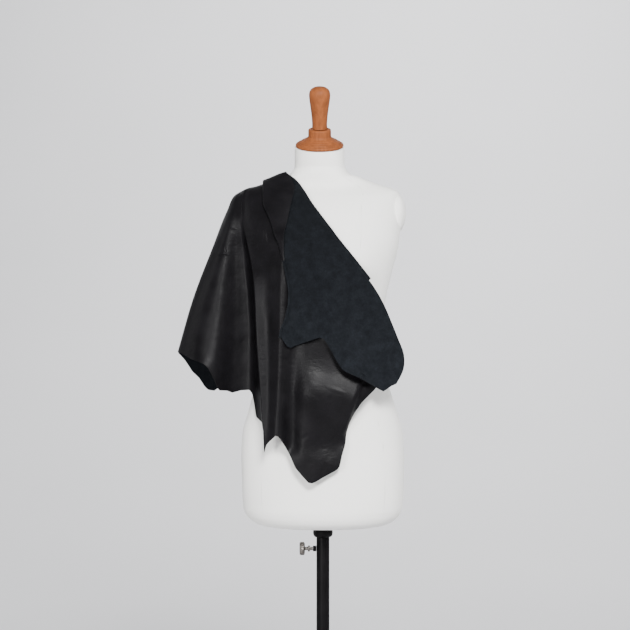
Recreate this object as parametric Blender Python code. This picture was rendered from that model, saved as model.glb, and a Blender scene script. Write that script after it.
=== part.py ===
"""A tanned hide thrown over the left shoulder of a plain dress form on its stand.

Metres, +Z up. The origin is on the floor, on the pole's axis; the front faces -Y and +X is to the
right of someone who looks at the front. Outlines in the tables are millimetres in the upright plane
through the pole, as they look from EYE, and view_to_world carries them to their real depth.
"""
import math

import bpy
import numpy as np
from mathutils import Matrix, Vector

MM = 0.001
GAP = 0.0003                     # between pieces that touch

# Viewpoint that the outlines belong to
EYE_X, EYE_Z, EYE_AWAY = -0.017, 1.155, 4.0

# Stand
BASE_RADIUS, BASE_EDGE, BASE_CROWN = 0.165, 0.008, 0.020
HUB_RADIUS, HUB_TOP = 0.024, 0.042
POLE_RADIUS = 0.014
SOCKET_BOTTOM, SOCKET_TOP, SOCKET_RADIUS = 0.678, 0.6997, 0.0215
SCREW_HEIGHT, BOSS_RADIUS, BOSS_END = 0.653, 0.0061, 0.0215

# Form
ROUNDNESS = 2.2                  # power of the section's oval, 2 is an ellipse
LEAN_SHIFT = -0.0071             # sideways lean of the shoulders
LEAN_DROP = 0.0117               # left shoulder lower than the right, as a slope
BUST_HEIGHT, BUST_SIDE, BUST_RISE, BUST_WIDE, BUST_TALL = 1.265, 0.082, 0.012, 0.046, 0.055
NECK_TILT = math.radians(18)
NECK_TOP = Vector((LEAN_SHIFT, -0.014, 1.515))
PLATE_CENTRE, PLATE_RADII = (0.165, 0.0, 1.372), (0.020, 0.042, 0.042)
NECK_RADII = (0.0533, 0.0505, 0.0505)
TORSO_COLUMNS, NECK_RINGS = 36, 4

# Hide
THICK = 0.0014
SEAT = 0.0017                    # middle of the hide above the shoulder it lies on
FREE = 0.0045                    # middle of the hide off the form elsewhere
TIP_LIFT = 0.0025                # more height at the shoulder's tip, which the stiff hide rounds off
TURN = 0.0020                    # radius where the hide is folded flat on itself
PUFF = 0.005                     # how far the flap stands off the panel between its edges
FOLD_RUN = 0.0050                # width of the strip that makes such a turn
ROWS, ROW_POWER = 20, 1.4        # rows from the shoulder to the hem, closer at the shoulder
PANEL_COLUMNS, FLAP_COLUMNS, MARGIN_COLUMNS, CONE_COLUMNS = 17, 11, 4, 24
FINE_ROWS, FINE_POWER = 160, 1.8 # rows in which each side is laid before it is read at ROWS
TURN_ANGLES = (-90, -45, 0, 45, 90)

# Half width, front depth and back depth of the form by height, mm
FORM_SECTIONS = {
    "z":     [700, 704, 708, 719, 733, 757, 810, 850, 880, 912, 942, 977, 1010, 1055, 1100, 1145, 1186,
              1225, 1265, 1301, 1335, 1370, 1398, 1409, 1414.5, 1419.8, 1426.4, 1433.2, 1441, 1450,
              1455, 1462, 1471],
    "half":  [104, 128, 141, 158, 168, 172, 174, 175, 174, 170, 161, 151, 141, 130, 125, 129, 139,
              148, 159, 168, 172.5, 173.5, 173, 172.5, 171, 166, 151, 129.5, 108, 86.5,
              69, 60.5, 54],
    "front": [66, 84, 94, 106, 112, 114, 113, 112, 110, 107, 103, 98, 94, 91, 90, 93, 100,
              109, 117, 116, 107, 94, 78, 69, 63, 57, 51, 48, 48, 50,
              51.5, 51.5, 51],
    "back":  [64, 82, 91, 104, 110, 113, 117, 119, 119, 115, 108, 98, 90, 83, 80, 83, 88,
              93, 98, 101, 101, 97, 86, 77, 70, 63, 57, 54, 53, 54,
              54, 53, 52],
}

# Turned pieces, radius and height along their own axis, mm
CAP_PROFILE = [(0, 0.4), (50, 0.4), (51.3, 3), (51.3, 8), (49.5, 10.5), (46.8, 11.5), (46, 13.5), (41, 17),
               (33, 20), (27, 21.5), (24.4, 23.5), (24.4, 37.5), (23, 39.5), (0, 39.5)]
KNOB_PROFILE = [(0, 39.9), (15.5, 39.9), (14.6, 43), (14.4, 50), (16.2, 68), (19.6, 90), (22, 104),
                (22.6, 111), (21.4, 118.5), (17.4, 125), (10, 129.4), (0, 131)]

# Front of the hide. Lines run down from the shoulder, edges run from left to right.
CENTRE_FOLD = [(-168, 1421), (-173, 1388), (-168, 1340), (-161, 1305), (-151, 1254), (-146, 1200),
               (-143, 1123), (-139, 1058), (-135, 1004), (-130, 934), (-126, 860)]
NECKLINE = [(-76, 1458), (-58, 1445), (-41, 1424), (-28, 1403), (11, 1350), (43, 1308), (69, 1276),
            (95, 1243), (103, 1233)]
PANEL_HEM = [(-126, 860), (-121, 877), (-110, 888), (-100, 897), (-90, 887), (-74, 860), (-59, 826),
             (-44, 808), (-30, 793), (-21, 793), (1, 806), (35, 825), (42, 857), (48, 876), (50, 902),
             (56, 921), (65, 941), (86, 970), (112, 996), (135, 1030), (136, 1090), (120, 1150), (104, 1205),
             (103, 1233)]
FLAP_HEM = [(103, 1233), (124, 1198), (137, 1170), (161, 1108), (174, 1075), (176, 1052), (172, 1033),
            (158, 1007), (142, 1000), (132, 990), (123, 994), (101, 1007), (83, 1017), (66, 1025), (45, 1034),
            (33, 1049), (17, 1078), (6, 1097), (-4, 1108), (-18, 1104), (-38, 1097), (-63, 1089), (-77, 1083),
            (-91, 1101), (-94, 1106)]
FLAP_EDGE = [(-129, 1440), (-129, 1412), (-128, 1391), (-121, 1375), (-110, 1348), (-105, 1329), (-96, 1308),
             (-89, 1280), (-84, 1257), (-78, 1230), (-75, 1214), (-75, 1181), (-79, 1157), (-86, 1136),
             (-92, 1123), (-94, 1106)]
MARGIN = {"share": [0, 0.03, 0.075, 0.12, 0.21, 0.30, 0.38, 0.47, 0.58, 0.75, 1],
          "wide": [50, 60, 67, 65, 46, 28, 15.5, 10.5, 9, 8.5, 8.5]}

# Back of the hide
BACK_FOLD = [(-168, 1421), (-175, 1380), (-178, 1300), (-178, 1200), (-176, 1100), (-174, 1012)]
BACK_NECKLINE = [(-76, 1458), (-66, 1425), (-54, 1390), (-45, 1362)]
BACK_HEM = [(-174, 1012), (-150, 998), (-120, 975), (-86, 958), (-60, 951), (-34, 962), (-10, 955), (12, 978),
            (26, 1024), (18, 1090), (-6, 1160), (-26, 1240), (-40, 1310), (-45, 1362)]
BACK_FLAP_HEM = [(-45, 1362), (-62, 1350), (-84, 1352), (-104, 1341), (-119, 1349)]
BACK_FLAP_EDGE = [(-129, 1440), (-126, 1415), (-121, 1380), (-119, 1349)]
BACK_MARGIN = {"share": [0, 0.3, 0.7, 1], "wide": [50, 42, 21, 11]}

# Folds of the front: a ridge (or a trough, where the rise is negative) that grows from its first
# point to its last, mm: x and z of both ends, half width, rise at the top and at the bottom
FRONT_FOLDS = [
    {"name": "left edge of the panel", "from": (-172, 1370), "to": (-126, 860), "wide": 26, "rise": (2, 38)},
    {"name": "ridge down the panel", "from": (-134, 1385), "to": (-104, 890), "wide": 13, "rise": (1, 11)},
    {"name": "trough beside that ridge", "from": (-80, 1210), "to": (-70, 880), "wide": 18, "rise": (-2, -9)},
    {"name": "low fold to the tip", "from": (-30, 1120), "to": (-26, 800), "wide": 24, "rise": (1, 12)},
    {"name": "bulge under the flap", "from": (-10, 1000), "to": (45, 985), "wide": 30, "rise": (14, 14)},
    {"name": "dimple over the tip", "from": (4, 880), "to": (14, 880), "wide": 20, "rise": (-8, -6)},
    {"name": "rolled right edge", "from": (62, 900), "to": (118, 1000), "wide": 20, "rise": (-24, -18)},
    {"name": "soft fold of the flap", "from": (-20, 1330), "to": (28, 1110), "wide": 24, "rise": (1, 8)},
    {"name": "trough of the flap", "from": (30, 1290), "to": (95, 1030), "wide": 22, "rise": (-1, -6)},
]
BACK_FOLDS = [
    {"name": "fold off the shoulder", "from": (-150, 1400), "to": (-140, 985), "wide": 26, "rise": (2, 22)},
    {"name": "middle fold", "from": (-100, 1390), "to": (-62, 955), "wide": 24, "rise": (1, 18)},
    {"name": "right fold", "from": (-60, 1350), "to": (6, 970), "wide": 22, "rise": (1, 14)},
]

# How far the stiff hide stands out from the pole's plane below the chest, mm
STIFF_FRONT = {"x": [-240, -150, -120, -80, -20, 40, 85, 120, 160, 200],
               "out": [60, 96, 112, 126, 128, 129, 128, 120, 104, 86]}
STIFF_BACK = {"x": [-240, -178, -150, -100, -40, 40, 100], "out": [40, 78, 92, 106, 108, 106, 96]}
STIFF_FROM, STIFF_FALL = 1.255, 1.1   # height above which that reach falls off, and how steeply
STIFF_EASE, MERGE_EASE = 0.030, 0.010
HANG_FROM = np.linspace(1.20, 1.45, 42)   # heights of the form that the hide may hang from

# Cone that hangs off the shoulder tip, from the centre fold round to the back. Each fold is given at
# five shares of its length: how the picture shows it (x, z) and its depth y, mm.
CONE_SHARES = [0.05, 0.12, 0.35, 0.65, 1.0]
CONE_FOLDS = [
    {"name": "wall of the valley", "at": 0.10,
     "line": [(-175, 1411, -36), (-179, 1371, -46), (-155, 1262, -76), (-141, 1118, -100),
              (-131, 925, -108)]},
    {"name": "floor of the valley", "at": 0.26,
     "line": [(-180, 1411, -31), (-186, 1371, -44), (-168, 1290, -58), (-156, 1150, -58), (-157, 993, -60)]},
    {"name": "shoulder of the valley", "at": 0.38,
     "line": [(-184, 1411, -25), (-191, 1373, -42), (-182, 1288, -64), (-182, 1150, -78), (-192, 993, -86)]},
    {"name": "front of the cone", "at": 0.50,
     "line": [(-187, 1411, -19), (-197, 1377, -36), (-200, 1290, -62), (-209, 1152, -88), (-224, 994, -106)]},
    {"name": "front side of the cone", "at": 0.62,
     "line": [(-189, 1411, -11), (-202, 1381, -22), (-220, 1295, -42), (-246, 1178, -58), (-268, 1054, -74)]},
    {"name": "left edge of the cone", "at": 0.74,
     "line": [(-190, 1411, 0), (-205, 1380, 0), (-236, 1301, -2), (-276, 1197, -8), (-311, 1076, -14)]},
    {"name": "back of the cone", "at": 0.87,
     "line": [(-187, 1411, 18), (-201, 1379, 32), (-218, 1290, 42), (-246, 1150, 44), (-252, 997, 36)]},
]
BACK_FOLD_AT = 1.0
NEXT_FRONT, NEXT_BACK = -0.06, 1.08   # places of the panels' next columns, which the cone runs on from


def material(name, colour, roughness, metallic=0.0):
    """Principled surface of one colour."""
    surface = bpy.data.materials.new(name)
    surface.use_nodes = True
    shader = surface.node_tree.nodes["Principled BSDF"]
    shader.inputs["Base Color"].default_value = (*colour, 1.0)
    shader.inputs["Roughness"].default_value = roughness
    shader.inputs["Metallic"].default_value = metallic
    return surface


def add_object(name, vertices, faces, surface, smooth=True):
    """New object from vertices and faces in world metres."""
    mesh = bpy.data.meshes.new(name)
    mesh.from_pydata([tuple(float(c) for c in v) for v in vertices], [], [tuple(map(int, f)) for f in faces])
    mesh.materials.append(surface)
    if smooth:
        mesh.shade_smooth()
    made = bpy.data.objects.new(name, mesh)
    bpy.context.scene.collection.objects.link(made)
    return made


def smoothstep(value, low, high):
    """0 below low, 1 above high and a smooth rise between."""
    share = np.clip((np.asarray(value, float) - low) / (high - low), 0.0, 1.0)
    return share * share * (3.0 - 2.0 * share)


def hermite(knots, values, at):
    """Smooth curve through values (one row for each knot), read at the places given."""
    knots = np.asarray(knots, float)
    values = np.asarray(values, float)
    at = np.asarray(at, float)
    slopes = np.gradient(values, knots, axis=0)
    i = np.clip(np.searchsorted(knots, at, side="right") - 1, 0, len(knots) - 2)
    span = knots[i + 1] - knots[i]
    share = (at - knots[i]) / span
    shape = at.shape + (1,) * (values.ndim - 1)
    span, share = span.reshape(shape), share.reshape(shape)
    a, b = values[i], values[i + 1]
    return ((1 + 2 * share) * (1 - share) ** 2 * a + share * (1 - share) ** 2 * span * slopes[i]
            + share ** 2 * (3 - 2 * share) * b + share ** 2 * (share - 1) * span * slopes[i + 1])


def along(points, share):
    """Smooth line through points in mm, read at shares of its length, in metres."""
    points = np.asarray(points, float) * MM
    steps = np.linalg.norm(np.diff(points, axis=0), axis=1)
    knots = np.concatenate(([0.0], np.cumsum(steps))) / steps.sum()
    return hermite(knots, points, share)


def section(column, z):
    """Half width or depth of the form at height z."""
    return np.interp(z, np.array(FORM_SECTIONS["z"]) * MM, np.array(FORM_SECTIONS[column]) * MM)


def lean(z):
    return LEAN_SHIFT * smoothstep(z, 0.80, 1.45)


def drop(z):
    return LEAN_DROP * smoothstep(z, 1.10, 1.40)


def bust(x, z):
    """Rise of the two bust mounds on the front."""
    across = (np.abs(x) - BUST_SIDE) / BUST_WIDE
    up = (z - BUST_HEIGHT) / BUST_TALL
    return BUST_RISE * np.exp(-across ** 2 - up ** 2)


def form_depth(x, z, front):
    """Depth of the form's surface, arm plates included, before or behind the pole's plane at x and z."""
    own_z = z - drop(z) * x
    own_x = x - lean(own_z)
    share = np.clip(np.abs(own_x) / section("half", own_z), 0.0, 1.0)
    depth = section("front" if front else "back", own_z) * (1 - share ** ROUNDNESS) ** (1 / ROUNDNESS)
    if front:
        depth = depth + bust(own_x, own_z) * (1 - share ** 6)
    across = (np.abs(own_x) - PLATE_CENTRE[0]) / PLATE_RADII[0]
    up = (own_z - PLATE_CENTRE[2]) / PLATE_RADII[2]
    return np.maximum(depth, PLATE_RADII[1] * np.sqrt(np.clip(1 - across ** 2 - up ** 2, 0.0, 1.0)))


def shoulder_height(x):
    """Height of the form's shoulder line at world x."""
    z = np.linspace(1.405, 1.458, 80)
    own = section("half", z)
    height = np.interp(np.abs(x - LEAN_SHIFT), own[::-1], z[::-1])
    return height + LEAN_DROP * x


def seat_height(x):
    """Height of the hide's middle where it lies on the shoulder, a little off it at the stiff tip."""
    return shoulder_height(x) + SEAT + TIP_LIFT * smoothstep(-x, 0.140, 0.168)


def fold_rise(folds, x, z):
    """Sum of the listed folds: a bell across each fold's line, growing from its start to its end."""
    total = np.zeros_like(x)
    for fold in folds:
        start, end = np.array(fold["from"]) * MM, np.array(fold["to"]) * MM
        run = end - start
        share = ((x - start[0]) * run[0] + (z - start[1]) * run[1]) / run.dot(run)
        share = np.clip(share, 0.0, 1.0)
        away = np.hypot(x - start[0] - share * run[0], z - start[1] - share * run[1])
        rise = (fold["rise"][0] + (fold["rise"][1] - fold["rise"][0]) * share) * MM
        total = total + rise * np.exp(-(away / (fold["wide"] * MM)) ** 2)
    return total


def hang(x, z, front):
    """Depth of the hide's middle: over the form where it lies on it, straight down below the chest."""
    reach = np.zeros_like(x)
    for level in HANG_FROM:
        reach = np.maximum(reach, form_depth(x, np.maximum(z, level), front))
    below = shoulder_height(x) - z
    free = SEAT + (FREE - SEAT) * smoothstep(below, 0.004, 0.05)
    stiff = STIFF_FRONT if front else STIFF_BACK
    stand = hermite(np.array(stiff["x"]) * MM, np.array(stiff["out"]) * MM, x)
    above = z - STIFF_FROM
    stand = stand - STIFF_FALL * 0.5 * (above + np.sqrt(above ** 2 + STIFF_EASE ** 2))
    over = reach + free - stand
    merged = 0.5 * (reach + free + stand + np.sqrt(over ** 2 + MERGE_EASE ** 2))
    merged = np.where(stand > -0.02, merged, reach + free)
    ease = smoothstep(below, 0.0, 0.06)
    merged = (reach + free) + (merged - reach - free) * ease
    return merged + fold_rise(FRONT_FOLDS if front else BACK_FOLDS, x, z) * ease


def view_to_world(x, z, y):
    """Place of a point that looks to be at (x, z) in the pole's plane but lies at depth y."""
    scale = (y + EYE_AWAY) / EYE_AWAY
    return EYE_X + (x - EYE_X) * scale, EYE_Z + (z - EYE_Z) * scale


def lay(x, z, layer, front):
    """World points of hide that looks to be at (x, z), lying layer metres above the hide's lowest layer."""
    y = np.zeros_like(x)
    side = -1.0 if front else 1.0
    for _ in range(4):
        wx, wz = view_to_world(x, z, y) if front else (x, z)
        raised = seat_height(wx) - shoulder_height(wx) + layer
        wz = np.minimum(wz, seat_height(wx) + layer)
        y = side * (hang(wx, wz - raised, front) + layer)
        y = np.where(seat_height(wx) + layer - wz < 1e-6, 0.0, y)
    return np.stack([wx, y, wz], axis=-1)


def patch(left, right, top, bottom, across, down):
    """Surface between four lines: the sum of both ruled surfaces less the flat one of the corners."""
    s, t = across[None, :, None], down[:, None, None]
    ruled = (1 - s) * left[:, None] + s * right[:, None] + (1 - t) * top[None] + t * bottom[None]
    corners = (1 - t) * ((1 - s) * left[0] + s * right[0]) + t * ((1 - s) * left[-1] + s * right[-1])
    return ruled - corners


def shift_in(line, width, sign):
    """Line moved sideways by width, level at its top and square to it further down."""
    run = np.gradient(line, axis=0)
    run /= np.linalg.norm(run, axis=1, keepdims=True)
    square = np.stack([run[:, 1], -run[:, 0]], axis=1) * sign
    level = np.array([[-sign, 0.0]])
    share = smoothstep(np.arange(len(line)) / (len(line) - 1), 0.0, 0.2)[:, None]
    way = level * (1 - share) + square * share
    way /= np.linalg.norm(way, axis=1, keepdims=True)
    return line + way * width


def hide_side(front, down):
    """Columns of one side, from the shoulder's tip over the panel, flap and margin, as (x, z, layer)."""
    fold = along(CENTRE_FOLD if front else BACK_FOLD, down)
    neckline = along(NECKLINE if front else BACK_NECKLINE, down)
    edge = along(FLAP_EDGE if front else BACK_FLAP_EDGE, down)
    margin = MARGIN if front else BACK_MARGIN
    margin_width = hermite(margin["share"], np.array(margin["wide"]) * MM, down)
    hem = PANEL_HEM if front else BACK_HEM
    flap_hem = FLAP_HEM if front else BACK_FLAP_HEM
    columns, layers = [], []

    def keep(grid, layer, puff=None):
        for place, column in enumerate(np.moveaxis(grid, 1, 0)):
            columns.append(column)
            layers.append(np.full(len(column), layer) + (0.0 if puff is None else puff[:, place]))

    def keep_turn(line, sign, low):
        for angle in TURN_ANGLES:
            inward = TURN * (1 - math.cos(math.radians(angle)))
            columns.append(shift_in(line, inward, sign))
            layers.append(np.full(len(line), low + TURN * (1 + math.sin(math.radians(angle)))))

    inner = shift_in(neckline, FOLD_RUN, 1)
    across = np.linspace(0.0, 1.0, PANEL_COLUMNS) ** 1.15
    top = fold[0] + (inner[0] - fold[0]) * across[:, None]
    bottom = along(hem, across)
    bottom += (inner[-1] - bottom[-1]) * (across[:, None] ** 6)
    keep(patch(fold, inner, top, bottom, across, down), 0.0)
    keep_turn(neckline, 1, 0.0)
    flap_right = shift_in(edge, FOLD_RUN, -1)
    across = np.linspace(0.0, 1.0, FLAP_COLUMNS)
    top = inner[0] + (flap_right[0] - inner[0]) * across[:, None]
    bottom = along(flap_hem, across)
    bottom += (inner[-1] - bottom[0]) * (1 - across[:, None]) ** 6
    bottom += (flap_right[-1] - bottom[-1]) * across[:, None] ** 6
    loose = PUFF * smoothstep(down, 0.2, 0.5)[:, None]
    keep(patch(inner, flap_right, top, bottom, across, down), 2 * TURN, loose * np.sin(math.pi * across))
    keep_turn(edge, -1, 2 * TURN)
    flap_wide = np.linalg.norm(flap_right - inner, axis=1)
    for share in np.linspace(0.0, 1.0, MARGIN_COLUMNS + 1):
        further = (margin_width - FOLD_RUN) * share
        under = np.sin(math.pi * further / flap_wide)[:, None]
        keep((flap_right + np.stack([further, 0 * further], axis=1))[:, None], 4 * TURN, loose * under)
    flat, layers = np.stack(columns, axis=1), np.stack(layers, axis=1)
    crest = seat_height(flat[0, :, 0]) + layers[0]
    flat[:, :, 1] += (crest - flat[0, :, 1]) * (1 - down[:, None]) ** 4
    least_fall = 0.5 * (flat[0, :, 1] - flat[-1, :, 1]) * down[:, None]
    flat[:, :, 1] = np.minimum(flat[:, :, 1], seat_height(flat[:, :, 0]) + layers - least_fall)
    return flat, layers


def resample(points, share):
    """Columns of points read at shares of their length; those at a turn follow the turn's own line."""
    half_turn = len(TURN_ANGLES) // 2
    turn_line = PANEL_COLUMNS + half_turn
    edge_line = PANEL_COLUMNS + len(TURN_ANGLES) + FLAP_COLUMNS + half_turn
    out = np.empty((len(share),) + points.shape[1:])
    for c in range(points.shape[1]):
        guide = c
        if abs(c - turn_line) <= half_turn + 1:
            guide = turn_line
        elif c >= edge_line - half_turn - 1:
            guide = edge_line
        steps = np.linalg.norm(np.diff(points[:, guide], axis=0), axis=1)
        length = np.concatenate(([0.0], np.cumsum(steps)))
        for axis in range(3):
            out[:, c, axis] = np.interp(share * length[-1], length, points[:, c, axis])
    return out


def hide_panels():
    """Grid of the panel, flap and margin: rows from the back hem over the shoulder to the front hem."""
    fine = np.linspace(0.0, 1.0, FINE_ROWS) ** FINE_POWER
    rows = np.linspace(0.0, 1.0, ROWS + 1) ** ROW_POWER
    sides = []
    for front in (False, True):
        flat, layers = hide_side(front, fine)
        points = lay(flat[..., 0], flat[..., 1], layers, front)
        top = points[0]
        top[:, 1] = 0.0
        top[:, 2] = seat_height(top[:, 0]) + layers[0]
        sides.append(resample(points, rows))
    back, front = sides
    return np.concatenate([back[:0:-1], front], axis=0)


def hide_cone(grid):
    """Rings from the centre fold round the cone's edge to the back, which share the grid's first column."""
    tip = grid[ROWS, 0]
    share = (np.linspace(0.0, 1.0, ROWS + 1) ** ROW_POWER)[1:]
    knots = [NEXT_FRONT, 0.0]
    lines = [grid[ROWS + 1:, 1], grid[ROWS + 1:, 0]]
    for fold in CONE_FOLDS:
        view = np.array(fold["line"], float) * MM
        x, z = view_to_world(view[:, 0], view[:, 1], view[:, 2])
        placed = np.stack([x, view[:, 2], z], axis=1)
        lines.append(hermite([0.0] + CONE_SHARES, np.vstack([tip, placed]), share))
        knots.append(fold["at"])
    knots += [BACK_FOLD_AT, NEXT_BACK]
    lines += [grid[ROWS - 1::-1, 0], grid[ROWS - 1::-1, 1]]
    around = np.linspace(0.0, BACK_FOLD_AT, CONE_COLUMNS + 1)[1:-1]
    return hermite(knots, np.stack(lines), around)


def hide_mesh():
    """Middle surface of the hide as vertices and quads, and its outline as a closed loop of vertices."""
    grid = hide_panels()
    cone = hide_cone(grid)
    height, width = grid.shape[:2]
    rays, rings = cone.shape[:2]
    vertices = np.concatenate([grid.reshape(-1, 3), cone.reshape(-1, 3)])
    number = np.arange(height * width).reshape(height, width)
    ray = height * width + np.arange(rays * rings).reshape(rays, rings)
    quads = np.stack([number[:-1, :-1], number[:-1, 1:], number[1:, 1:], number[1:, :-1]], axis=-1)
    fan = np.vstack([number[ROWS + 1:, 0], ray, number[ROWS - 1::-1, 0]])
    cone_quads = np.stack([fan[1:, :-1], fan[1:, 1:], fan[:-1, 1:], fan[:-1, :-1]], axis=-1).reshape(-1, 4)
    tip = number[ROWS, 0]
    caps = [(tip, fan[r + 1, 0], fan[r, 0]) for r in range(rays + 1)]
    quads = np.concatenate([quads.reshape(-1, 4)[:, ::-1], cone_quads])
    one = np.linalg.norm(vertices[quads[:, 0]] - vertices[quads[:, 2]], axis=1)
    other = np.linalg.norm(vertices[quads[:, 1]] - vertices[quads[:, 3]], axis=1)
    quads = np.where((one > other)[:, None], np.roll(quads, -1, axis=1), quads)
    faces = np.concatenate([quads[:, [0, 1, 2]], quads[:, [0, 2, 3]], np.array(caps)])
    outline = list(number[-1, ::-1]) + list(fan[1:-1, -1]) + list(number[0, :]) + list(number[1:-1, -1])
    return vertices, faces, outline


def vertex_normals(vertices, faces):
    """Mean of the normals of the faces round each vertex, weighted by area."""
    normals = np.zeros_like(vertices)
    first, second, third = np.moveaxis(vertices[faces], 1, 0)
    square = np.cross(second - first, third - first)
    for corner in range(3):
        np.add.at(normals, faces[:, corner], square)
    return normals / np.linalg.norm(normals, axis=1, keepdims=True)


def add_hide(surface):
    """The hide: its middle surface set off by half its thickness to each side and closed at the rim."""
    vertices, faces, outline = hide_mesh()
    normals = vertex_normals(vertices, faces)
    count = len(vertices)
    both = np.concatenate([vertices + normals * THICK / 2, vertices - normals * THICK / 2])
    edges = set(zip(faces.ravel(), np.roll(faces, -1, axis=1).ravel()))
    rim = []
    for a, b in zip(outline, outline[1:] + outline[:1]):
        if (a, b) in edges:
            a, b = b, a
        rim.append((a, b, b + count, a + count))
    return add_object("hide", both, [*faces, *(faces[:, ::-1] + count), *rim], surface)


def ring(radii, centre, tilt, count):
    """Points of an oval ring, its front half and back half of their own depth, tilted towards the front."""
    angle = np.linspace(0.0, 2 * math.pi, count, endpoint=False)
    half, front, back = radii
    c, s = np.cos(angle), np.sin(angle)
    power = 2 / ROUNDNESS
    x = half * np.sign(c) * np.abs(c) ** power
    y = np.where(s < 0, front, back) * np.sign(s) * np.abs(s) ** power
    z = y * math.sin(tilt)
    return np.stack([x + centre[0], y * math.cos(tilt) + centre[1], z + centre[2]], axis=1)


def add_torso(surface):
    """Body and neck of the form, a loft of oval rings."""
    levels = np.array(FORM_SECTIONS["z"]) * MM
    rings = []
    for z in levels:
        points = ring([section(c, z) for c in ("half", "front", "back")], (0, 0, z), 0.0, TORSO_COLUMNS)
        x = points[:, 0].copy()
        front = points[:, 1] < 0
        share = np.abs(x) / section("half", z)
        points[:, 1] -= np.where(front, bust(x, z) * (1 - share ** 6), 0.0)
        points[:, 0] = x + lean(z)
        points[:, 2] += drop(z) * x
        rings.append(points)
    last = Vector((LEAN_SHIFT, 0.0, levels[-1]))
    for step in range(1, NECK_RINGS + 1):
        share = step / NECK_RINGS
        centre = last.lerp(NECK_TOP, share)
        rings.append(ring(NECK_RADII, centre, NECK_TILT * share, TORSO_COLUMNS))
    vertices = np.concatenate(rings)
    count, n = TORSO_COLUMNS, len(rings)
    faces = []
    for r in range(n - 1):
        for c in range(count):
            d = (c + 1) % count
            faces.append((r * count + c, r * count + d, (r + 1) * count + d, (r + 1) * count + c))
    faces.append(tuple(range(count))[::-1])
    faces.append(tuple((n - 1) * count + c for c in range(count)))
    return add_object("torso", vertices, faces, surface)


def turn(name, profile, surface, place=Matrix(), segments=28):
    """Solid of revolution: profile of (radius, height) in metres that starts and ends on the axis."""
    vertices, rows = [], []
    for radius, height in profile:
        start = len(vertices)
        if radius < 1e-6:
            vertices.append(place @ Vector((0, 0, height)))
            rows.append([start] * segments)
            continue
        for k in range(segments):
            angle = 2 * math.pi * k / segments
            vertices.append(place @ Vector((radius * math.cos(angle), radius * math.sin(angle), height)))
        rows.append(list(range(start, start + segments)))
    faces = []
    for low, high in zip(rows, rows[1:]):
        for k in range(segments):
            m = (k + 1) % segments
            corners = [low[k], low[m], high[m], high[k]]
            faces.append(tuple(dict.fromkeys(corners)))
    made = add_object(name, vertices, faces, surface)
    made.data.set_sharp_from_angle(angle=math.radians(35))
    return made


def in_metres(profile):
    return [(radius * MM, height * MM) for radius, height in profile]


def add_arm_plate(name, side, surface, grow=0.0):
    """Padded round plate that closes an armhole, a flattened ball."""
    x, y, z = PLATE_CENTRE
    middle = (side * x + lean(z), y, z + drop(z) * side * x)
    steps = 12
    profile = [(math.sin(math.pi * k / steps), -math.cos(math.pi * k / steps)) for k in range(steps + 1)]
    radii = [r + grow for r in PLATE_RADII]
    place = Matrix.Translation(middle) @ Matrix.Diagonal((*radii, 1.0)) @ Matrix.Rotation(math.pi / 2, 4, "Y")
    profile[0], profile[-1] = (0.0, -1.0), (0.0, 1.0)
    return turn(name, profile, surface, place, 24)


def seat_plate(torso, plate_name, side, surface):
    """Cuts the plate's bed into the torso, a gap wider than the plate, and adds the plate."""
    cutter = add_arm_plate(plate_name + "_bed", side, surface, GAP + 0.0002)
    cutter.hide_render = True
    cutter.display_type = "WIRE"
    cut = torso.modifiers.new(plate_name + "_bed", "BOOLEAN")
    cut.operation = "DIFFERENCE"
    cut.object = cutter
    return add_arm_plate(plate_name, side, surface)


def add_stand(black, steel):
    """Base disc, pole, socket under the body, and the thumb screw that holds the height."""
    turn("base_disc", [(0, 0), (BASE_RADIUS - 0.002, 0), (BASE_RADIUS, 0.002),
                       (BASE_RADIUS, BASE_EDGE - 0.002), (BASE_RADIUS - 0.004, BASE_EDGE),
                       (0.09, 0.015), (0.036, BASE_CROWN),
                       (HUB_RADIUS, BASE_CROWN + 0.003), (HUB_RADIUS, HUB_TOP - 0.002),
                       (HUB_RADIUS - 0.002, HUB_TOP), (0, HUB_TOP)], black, segments=36)
    turn("pole", [(0, HUB_TOP + GAP), (POLE_RADIUS, HUB_TOP + GAP), (POLE_RADIUS, SOCKET_BOTTOM - GAP),
                  (0, SOCKET_BOTTOM - GAP)], black, segments=24)
    middle = (SOCKET_BOTTOM + SOCKET_TOP) / 2
    turn("pole_socket", [(0, SOCKET_BOTTOM), (0.017, SOCKET_BOTTOM), (0.0205, SOCKET_BOTTOM + 0.004),
                         (SOCKET_RADIUS, middle), (0.0195, SOCKET_TOP - 0.005), (0.0165, SOCKET_TOP),
                         (0, SOCKET_TOP)], black, segments=28)
    outward = Matrix.Translation((0, 0, SCREW_HEIGHT)) @ Matrix.Rotation(-math.pi / 2, 4, "Y")
    start = POLE_RADIUS + GAP
    turn("screw_boss", [(0, start), (BOSS_RADIUS, start), (BOSS_RADIUS, BOSS_END), (0, BOSS_END)],
         black, outward, 16)
    first = BOSS_END + GAP
    turn("thumb_screw", [(0, first), (0.0036, first), (0.0036, 0.0275), (0.0066, 0.028), (0.0066, 0.032),
                         (0.0036, 0.0325), (0.0036, 0.0385), (0.012, 0.0390), (0.0143, 0.0410),
                         (0.0143, 0.0480), (0.012, 0.0502), (0, 0.0502)], steel, outward, 20)


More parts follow.
